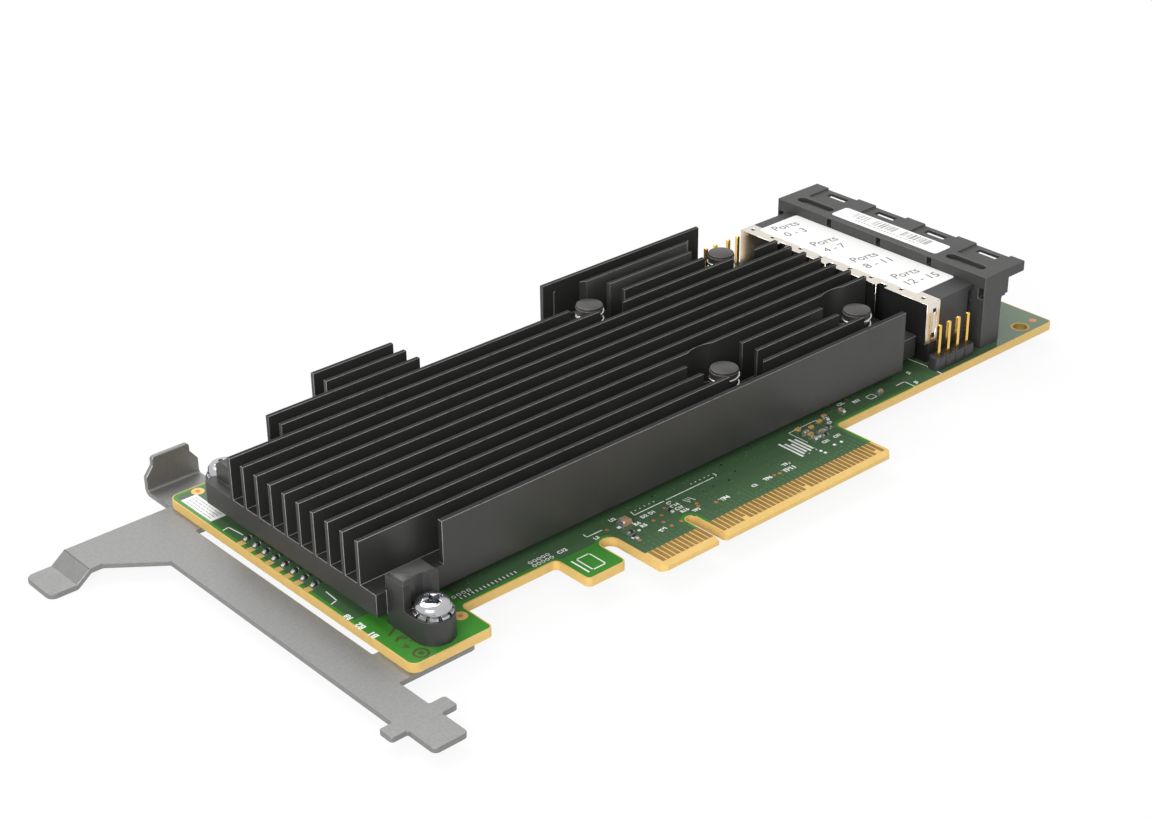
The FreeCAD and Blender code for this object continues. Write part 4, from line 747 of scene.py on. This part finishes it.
# %% Solder lands of the small parts' cluster
LANDS = ((89.2, 12.0), (89.2, 13.4), (89.2, 14.8), (91.2, 15.2), (93.3, 15.2), (94.4, 13.6), (94.5, 12.0),
         (91.3, 13.4), (93.5, 14.0), (95.4, 15.0), (97.6, 16.4), (99.2, 16.2), (103.0, 16.9), (106.2, 17.6))
LAND_SIZE = (0.42, 0.5)
LAND_PITCH = 0.75          # between the two lands of a part
bm = bmesh.new()
for x, y in LANDS:
    for step in (0.0, LAND_PITCH):
        slab(bm, (x + step, y, PRINT_Z), (x + step + LAND_SIZE[0], y + LAND_SIZE[1], PRINT_Z + 0.03))
add_piece("solder_lands", bm, TIN, sharp=0.0)
bm = bmesh.new()
for x, y in ((90.2, 12.7), (92.1, 14.4), (94.6, 14.9), (96.6, 15.6), (89.9, 15.4)):
    slab(bm, (x, y, PRINT_Z), (x + 0.9, y + 0.6, PRINT_Z + 0.3))
add_piece("gold_terminals", bm, GOLD_RING, sharp=0.0)

# %% Marks etched in the copper of the foot
bm = bmesh.new()
letters(bm, "2", 4.3, 10.6, 1.3, PRINT_Z, 200, weight=0.03)
letters(bm, "A", 2.7, 10.3, 1.2, PRINT_Z, 200, weight=0.03)
letters(bm, "B", 3.6, 12.3, 1.2, PRINT_Z, 200, weight=0.03)
for x, y in ((3.3, 14.0), (2.1, 11.6), (2.2, 13.4)):
    stroke(bm, (x, y), (x + 0.7, y + 0.4), 0.42, PRINT_Z)
ring(bm, 2.9, 6.8, 0.85, 1.3, PRINT_Z, 0.014, 32)
disc(bm, 2.9, 6.8, PRINT_Z, 0.48, 16)
bmesh.ops.recalc_face_normals(bm, faces=bm.faces)
add_piece("etched_marks", bm, ETCHED, sharp=0.0)

# %% [markdown]
# ## Finishes for the CAD solids
# A rounded copy takes the place of each solid whose edges would otherwise look too sharp. Two of them change
# a little in shape as well: the push pins get a deeper cap, and the code label gets thinner.

# %% Heatsink
LUG_END_X = 13.0
LUG_YS = (9.25, 62.6)
LUG_HALF = 6.5
FIRST_FINS_X = 30.0        # the painted highlight on the fins' cut ends goes only on the rows by the bracket
TILT = 0.3                 # a face looks along an axis once its normal has this much of it
bm = worked_copy("heatsink", 0.06)
sheen_and_shade_mark = bm.faces.layers.float["edge"]
# Bevel faces that look to the front and up, and the fins' cut ends by the bracket, keep the full edge colour
# as a painted highlight; by the lugs and elsewhere it is nearly gone.
for face in bm.faces:
    if face[sheen_and_shade_mark] > 0.5:
        place = (face.calc_center_median() - at(0, 0)) / MM
        by_lug = place.x < LUG_END_X + 3.0 and any(abs(place.y - y) < LUG_HALF for y in LUG_YS)
        front_end = face.normal.x < -TILT and place.x < FIRST_FINS_X
        takes_highlight = face.normal.y < -TILT and face.normal.z > TILT or front_end
        low_base = place.x < LUG_END_X and abs(face.normal.x) < TILT
        face[sheen_and_shade_mark] = 0.1 if by_lug or low_base or not takes_highlight else 1.0
    # The top faces take the darker black: painted shade.
    elif face.normal.z > 0.9 and face.calc_center_median().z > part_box("heatsink")[1].z - 0.1 * MM:
        face.material_index = 1
add_piece("heatsink_finished", bm, (ANODISED, SHADE_BLACK), ("heatsink",))

# %% Rounded copies
ROUNDED = [
    ("bracket", 0.12, ZINC, "zinc_steel"),
    ("guide_housing", 0.1, GREY_RESIN, "grey_resin"),
    ("front_header_base", 0.08, BLACK_RESIN, "black_resin"),
    ("rear_header_bases", 0.08, BLACK_RESIN, "black_resin"),
    ("front_header_pins", 0.04, PIN_GOLD, "pin_gold"),
    ("rear_header_pins", 0.04, PIN_GOLD, "pin_gold"),
    ("contact_tongues", 0.06, BLACK_RESIN, "black_resin"),
    ("controller_chip", 0.06, EPOXY, "chip_epoxy"),
    ("memory_chips", 0.05, EPOXY, "chip_epoxy"),
    ("flash_chip", 0.05, EPOXY, "chip_epoxy"),
    ("power_inductors", 0.12, PRESSED_POWDER, "inductor"),
    ("voltage_regulators", 0.05, EPOXY, "chip_epoxy"),
    ("lock_washers", 0.04, SCREW_PLATE, "screw_steel"),
    ("underside_regulators", 0.05, EPOXY, "chip_epoxy"),
    ("underside_drivers", 0.05, EPOXY, "chip_epoxy"),
]
for node, rounding, material, slot in ROUNDED:
    made = add_piece(node + "_finished", worked_copy(node, rounding), material, (node,))
    print(node, len(made.data.polygons), "faces")

# %% Socket shell, with painted shade behind
PLATE_AREA = 8.0           # the back's wide plates are larger, in square millimetres
SHADE_END_Y = 40.0          # past this the plates keep the nickel, with no painted shade
bm = worked_copy("socket_shell", 0.05)
# The back's wide plates near the heatsink take the darker black: painted shade and the painted dark
# reflection of the fins.
for face in bm.faces:
    wide_plate = face.normal.x < -0.9 and face.calc_area() > PLATE_AREA * MM * MM
    if wide_plate and face.calc_center_median().y < at(0, SHADE_END_Y).y:
        face.material_index = 1
add_piece("socket_shell_finished", bm, (NICKEL, SHADE_BLACK), ("socket_shell",))

# %% Socket body, with painted shade behind
bm = worked_copy("socket_body", 0.1)
for face in bm.faces:
    # Faces that look back, towards the heatsink, take the darker black: painted shade.
    if face.normal.x < -0.5:
        face.material_index = 1
add_piece("socket_body_finished", bm, (BLACK_RESIN, SHADE_BLACK), ("socket_body",))

# %% Screws with painted shade in the recess
RECESS_R = 1.62
RECESS_DEPTHS = (0.06, 1.0)
bm = worked_copy("lug_screws", 0.03, 50.0)
for group in islands(bm):
    low, high = extent(group)
    middle = (low + high) / 2
    for face in faces_of(group):
        place = face.calc_center_median()
        reach = math.hypot(place.x - middle.x, place.y - middle.y) / MM
        depth = (high.z - place.z) / MM
        # The recess faces take the dark bluish steel: painted shade.
        if reach < RECESS_R and RECESS_DEPTHS[0] < depth < RECESS_DEPTHS[1]:
            face.material_index = 1
add_piece("lug_screws_finished", bm, (SCREW_PLATE, RECESS_SHADE), ("lug_screws",), 62.0)


# %% Push pins with a deep cap
CAP_R = 2.4
CAP_SKIRT = 1.9            # how deep the finished cap is
RIM_DEPTH = 1.1            # the rims of the solid's cap and collar lie above this depth
RIM_R = 2.2                # and outside this radius
LOWER_EDGE = 0.7           # the collar's lower edge is the only one below this depth


def deepen_caps(bm):
    """Draws the collar in under the cap, so that the two make one deep cap."""
    for group in islands(bm):
        low, high = extent(group)
        middle = (low + high) / 2
        for vert in group:
            out = Vector((vert.co.x - middle.x, vert.co.y - middle.y, 0.0))
            depth = (high.z - vert.co.z) / MM
            if depth < RIM_DEPTH and out.length > RIM_R * MM:
                vert.co = vert.co - out + out.normalized() * CAP_R * MM
                if depth > LOWER_EDGE:
                    vert.co.z = high.z - CAP_SKIRT * MM


add_piece("push_pins_finished", worked_copy("push_pins", 0.12, 40.0, 2, deepen_caps), PIN_STEEL,
          ("push_pins",), 50.0)

# %% CAD solids that only get their finish
KEPT = {
    "edge_contacts_top": GOLD_PADS, "edge_contacts_bottom": GOLD_PADS, "port_label": PAPER,
    "board_label": PAPER, "socket_contacts": PIN_GOLD, "socket_tails": TIN,
    "header_solder_joints": TIN, "controller_pad": THERMAL_PAD, "memory_pads": THERMAL_PAD,
    "crystal": TIN,
}
for node, material in KEPT.items():
    for material_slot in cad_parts[node].material_slots:
        material_slot.material = material

# %% [markdown]
# ## Small parts with metal ends
# A chip capacitor or resistor is a block with a tinned cap at each end and a little slope of solder that
# climbs each cap. The CAD solid has the caps' shape, so its copy only needs the second material there. The
# slope is a block whose far upper edge is pushed down to the board.

# %% Capped copies and solder slopes
SLOPE = 0.28               # how far a slope reaches out from the part
SLOPE_INSIDE = 0.03        # how far it starts inside the cap
SLOPE_RISE = 0.55          # its height as a share of the part's
SLOPE_TOE = 0.05           # its height at the outer end


def long_way(low, high):
    """The axis, 0 for x or 1 for y, along which a box is longer."""
    return 0 if high.x - low.x >= high.y - low.y else 1


def capped_copy(node, rounding, share):
    """A rounded copy whose ends carry the second material, each over a share of the part's length."""
    bm = worked_copy(node, rounding)
    for group in islands(bm):
        low, high = extent(group)
        way = long_way(low, high)
        middle, half = (low[way] + high[way]) / 2, (high[way] - low[way]) / 2
        for face in faces_of(group):
            if abs(face.calc_center_median()[way] - middle) > half * (1 - share * 2):
                face.material_index = 1
    return bm


def solder_slopes(bm, node):
    """A slope of solder at both ends of every part of a node."""
    start = at(0, 0, 0)
    copy = merged_copy(node)
    for group in islands(copy):
        low, high = ((corner - start) / MM for corner in extent(group))
        above = high.z > 0
        foot = MASK_THICK if above else -BOARD_THICK - MASK_THICK
        tall = (high.z - foot if above else foot - low.z) * SLOPE_RISE
        way = long_way(low, high)
        for side in (-1, 1):
            end = high[way] if side > 0 else low[way]
            near, far = sorted((end - side * SLOPE_INSIDE, end + side * SLOPE))
            corner_low, corner_high = low.copy(), high.copy()
            corner_low[way], corner_high[way] = near, far
            corner_low.z, corner_high.z = sorted((foot, foot + (tall if above else -tall)))
            verts = slab(bm, corner_low, corner_high)
            outer = at(*(corner_high if side > 0 else corner_low))[way]
            for vert in verts:
                away = abs(vert.co.z - at(0, 0, foot).z) > tall * MM * 0.5
                if away and abs(vert.co[way] - outer) < 0.01 * MM:
                    vert.co.z = at(0, 0, foot).z + (SLOPE_TOE if above else -SLOPE_TOE) * MM
    copy.free()


# Each row ends with the cap's share of the part's length.
CAPPED = (
    ("block_capacitor", 0.06, TAN_CERAMIC, "tan_ceramic", 0.16),
    ("chip_capacitors", 0.03, TAN_CERAMIC, "tan_ceramic", 0.26),
    # The edge row's tan parts get the black film colour: painted shade under the heatsink's overhang.
    ("edge_row_parts", 0.03, FILM, "tan_ceramic", 0.26),
    ("underside_capacitors", 0.03, TAN_CERAMIC, "tan_ceramic", 0.26),
    ("chip_resistors", 0.03, FILM, "resistor", 0.24),
    ("underside_tantalums", 0.08, TANTALUM, "tantalum", 0.12),
)
slopes = bmesh.new()
for node, rounding, material, slot, share in CAPPED:
    add_piece(node + "_finished", capped_copy(node, rounding, share), (material, TIN), (node,))
    solder_slopes(slopes, node)
print("solder slopes:", len(slopes.faces) // 6)
bmesh.ops.recalc_face_normals(slopes, faces=slopes.faces)
add_piece("solder_slopes", slopes, TIN)

# %% [markdown]
# ## Round wire for the springs
# The CAD coil is square, which is enough to check its fit. The real spring is round wire, so a small circle
# is spun round the pin's axis while it climbs. A spin takes the climb as a shift per step.

# %% Springs
WIRE_SIDES = 10
TURNS = 3.0
STEPS_A_TURN = 28
WIRE_R = 0.275
bm = bmesh.new()
coils = merged_copy("push_pin_springs", 0.0005)
for group in islands(coils):
    low, high = extent(group)
    middle = (low + high) / 2
    outer = (high.x - low.x) / 2
    wire = WIRE_R * MM
    lowest = low.z + wire
    climb = high.z - low.z - 2 * wire
    steps = int(TURNS * STEPS_A_TURN)
    first = Matrix.Translation((middle.x + outer - wire, middle.y, lowest))
    place = first @ Matrix.Rotation(math.pi / 2, 4, "X")
    start = bmesh.ops.create_circle(bm, cap_ends=False, segments=WIRE_SIDES, radius=wire, matrix=place)
    edges = list({e for v in start["verts"] for e in v.link_edges})
    bmesh.ops.spin(bm, geom=start["verts"] + edges, cent=(middle.x, middle.y, lowest), axis=(0, 0, 1),
                   dvec=(0, 0, climb / steps), angle=math.tau * TURNS, steps=steps, use_merge=False)
    bmesh.ops.holes_fill(bm, edges=[e for e in bm.edges if len(e.link_faces) == 1], sides=0)
    print("coil", round(outer / MM, 2), "mm outside radius,", round((high.z - low.z) / MM, 2), "mm high")
coils.free()
bmesh.ops.recalc_face_normals(bm, faces=bm.faces)
add_piece("push_pin_springs_finished", bm, WIRE_STEEL, ("push_pin_springs",), 60.0)

# %% [markdown]
# ## Print on the labels
# The long label names the ports in four groups, the short one carries a bar code and a line of short marks,
# and the small one on the board has lines of fine print. The bars and fine lines are generic: they come from
# a seeded random run and say nothing.

# %% Port label
PORT_RANGES = (("12 - 15", 7.3), ("8 - 11", 6.0), ("4 - 7", 4.7), ("0 - 3", 4.7))   # words and their width
PORT_PITCH = 9.9
FIRST_PORT = 6.5           # from the label's front end
PORT_TURN = -9.0
bm = bmesh.new()
low, high = local_box("port_label")
for index, (words, width) in enumerate(PORT_RANGES):
    y = low.y + FIRST_PORT + index * PORT_PITCH
    letters(bm, "Ports", low.x + 1.9, y, 2.0, high.z, PORT_TURN, 5.6)
    letters(bm, words, low.x + 1.6, y - 3.3, 1.9, high.z, PORT_TURN, width)
add_piece("port_label_print", bm, INK, sharp=0.0)

# %% Code label, with room for its ink
LABEL_DROP = 0.02          # so that the ink stays within the label's own height


def make_room(bm):
    """Lowers the face of the label."""
    top = max(v.co.z for v in bm.verts)
    for vert in bm.verts:
        if vert.co.z > top - 0.001 * MM:
            vert.co.z -= LABEL_DROP * MM


add_piece("code_label_finished", worked_copy("code_label", 0.02, reshape=make_room), PAPER,
          ("code_label",))

# %% Bar code and fine print
BAR_GROUPS = ((4.0, 10.6), (12.0, 17.4), (18.9, 24.3))   # start and end, from the label's front end
bm = bmesh.new()
low, high = local_box("code_label")
high.z -= LABEL_DROP
random.seed(7)
for start, end in BAR_GROUPS:
    y = low.y + start
    while y < min(low.y + end, high.y - 3.0):
        wide = random.choice((0.14, 0.14, 0.26, 0.4))
        stroke(bm, (low.x + 1.9, y), (low.x + 3.9, y), wide, high.z)
        y += wide + random.choice((0.2, 0.2, 0.3, 0.5))
y = low.y + 6.0
while y < high.y - 5.0:
    tall = random.uniform(0.3, 0.7)
    stroke(bm, (low.x + 1.1, y), (low.x + 1.1, y + tall * 0.6), 0.24, high.z)
    y += tall + 0.25
low, high = local_box("board_label")
for row in range(4):
    x = low.x + 0.45 + row * 0.62
    y = low.y + 0.7
    while y < high.y - 1.0:
        length = random.uniform(0.3, 1.2)
        stroke(bm, (x, y), (x, min(y + length, high.y - 0.7)), 0.14, high.z, 0.01)
        y += length + 0.35
print("label print:", len(bm.faces), "faces")
add_piece("label_fine_print", bm, PALE_INK, sharp=0.0)

# %% [markdown]
# ## Floor, light and camera
# A pale floor and a white surround give the plain studio look. What the camera and the reflections see is
# white, while the light that falls on the card stays at a plain level, so that a colour shows about as it
# is written. The floor keeps its shadow, but shows it to the camera only in part.

# %% Floor
WHITE_RAYS = ("Is Camera Ray", "Is Glossy Ray", "Is Transmission Ray")
FLOOR_GAP = 0.00005        # between the card's lowest point and the floor, in metres
FLOOR_WHITE = 0.9          # the share of the floor's own look that plain white takes


def white_for(tree, lit, share):
    """Mixes a shader with plain white by a share, for the rays that show a white surround."""
    paths = tree.nodes.new("ShaderNodeLightPath")
    white = tree.nodes.new("ShaderNodeEmission")
    total = paths.outputs[WHITE_RAYS[0]]
    for ray in WHITE_RAYS[1:]:
        total = calculate(tree, "MAXIMUM", total, paths.outputs[ray])
    part = calculate(tree, "MULTIPLY", total, share)
    mix = tree.nodes.new("ShaderNodeMixShader")
    tree.links.new(part, mix.inputs["Fac"])
    tree.links.new(lit, mix.inputs[1])
    tree.links.new(white.outputs["Emission"], mix.inputs[2])
    return mix.outputs["Shader"]


floor_bm = bmesh.new()
bmesh.ops.create_grid(floor_bm, x_segments=1, y_segments=1, size=1.5,
                      matrix=Matrix.Translation((0, 0, CAD_BOX[0][2] - FLOOR_GAP)))
floor_mesh = bpy.data.meshes.new("floor")
floor_bm.to_mesh(floor_mesh)
floor_bm.free()
floor = bpy.data.objects.new("floor", floor_mesh)
bpy.context.scene.collection.objects.link(floor)
floor_finish = bpy.data.materials.new("studio_floor")
floor_finish.use_nodes = True
tree = floor_finish.node_tree
paint = tree.nodes["Principled BSDF"]
paint.inputs["Base Color"].default_value = (0.86, 0.86, 0.86, 1)
paint.inputs["Roughness"].default_value = 0.9
tree.links.new(white_for(tree, paint.outputs["BSDF"], FLOOR_WHITE),
               tree.nodes["Material Output"].inputs["Surface"])
floor_mesh.materials.append(floor_finish)

# %% World
world = bpy.data.worlds.new("studio")
bpy.context.scene.world = world
world.use_nodes = True
tree = world.node_tree
tree.nodes.clear()
output = tree.nodes.new("ShaderNodeOutputWorld")
light = tree.nodes.new("ShaderNodeBackground")
light.inputs["Color"].default_value = (1.0, 1.0, 1.0, 1.0)
light.inputs["Strength"].default_value = 0.55
tree.links.new(white_for(tree, light.outputs["Background"], 1.0), output.inputs["Surface"])


# %% Lamps
def softbox(name, place, width, height, power):
    """A rectangular lamp that looks at the middle of the card; places and sizes in metres, power in watts."""
    lamp = bpy.data.lights.new(name, "AREA")
    lamp.shape = "RECTANGLE"
    lamp.size = width
    lamp.size_y = height
    lamp.energy = power
    holder = bpy.data.objects.new(name, lamp)
    holder.location = place
    holder.rotation_euler = (-Vector(place)).to_track_quat("-Z", "Y").to_euler()
    bpy.context.scene.collection.objects.link(holder)


softbox("overhead", (0.0, 0.4, 0.7), 0.6, 0.4, 3.8)
softbox("left_front", (-0.6, -0.35, 0.35), 0.5, 0.4, 4.3)

# %% Camera
camera_data = bpy.data.cameras.new("camera")
camera_data.sensor_width = 36.0
camera_data.lens = 66.43
camera_data.clip_start = 0.01
camera = bpy.data.objects.new("camera", camera_data)
camera.location = at(-145.33, -195.61, 172.54)
camera.rotation_euler = (math.radians(61.859), math.radians(0.652), math.radians(-41.691))
bpy.context.scene.collection.objects.link(camera)
bpy.context.scene.camera = camera
bpy.context.scene.view_settings.view_transform = "Standard"
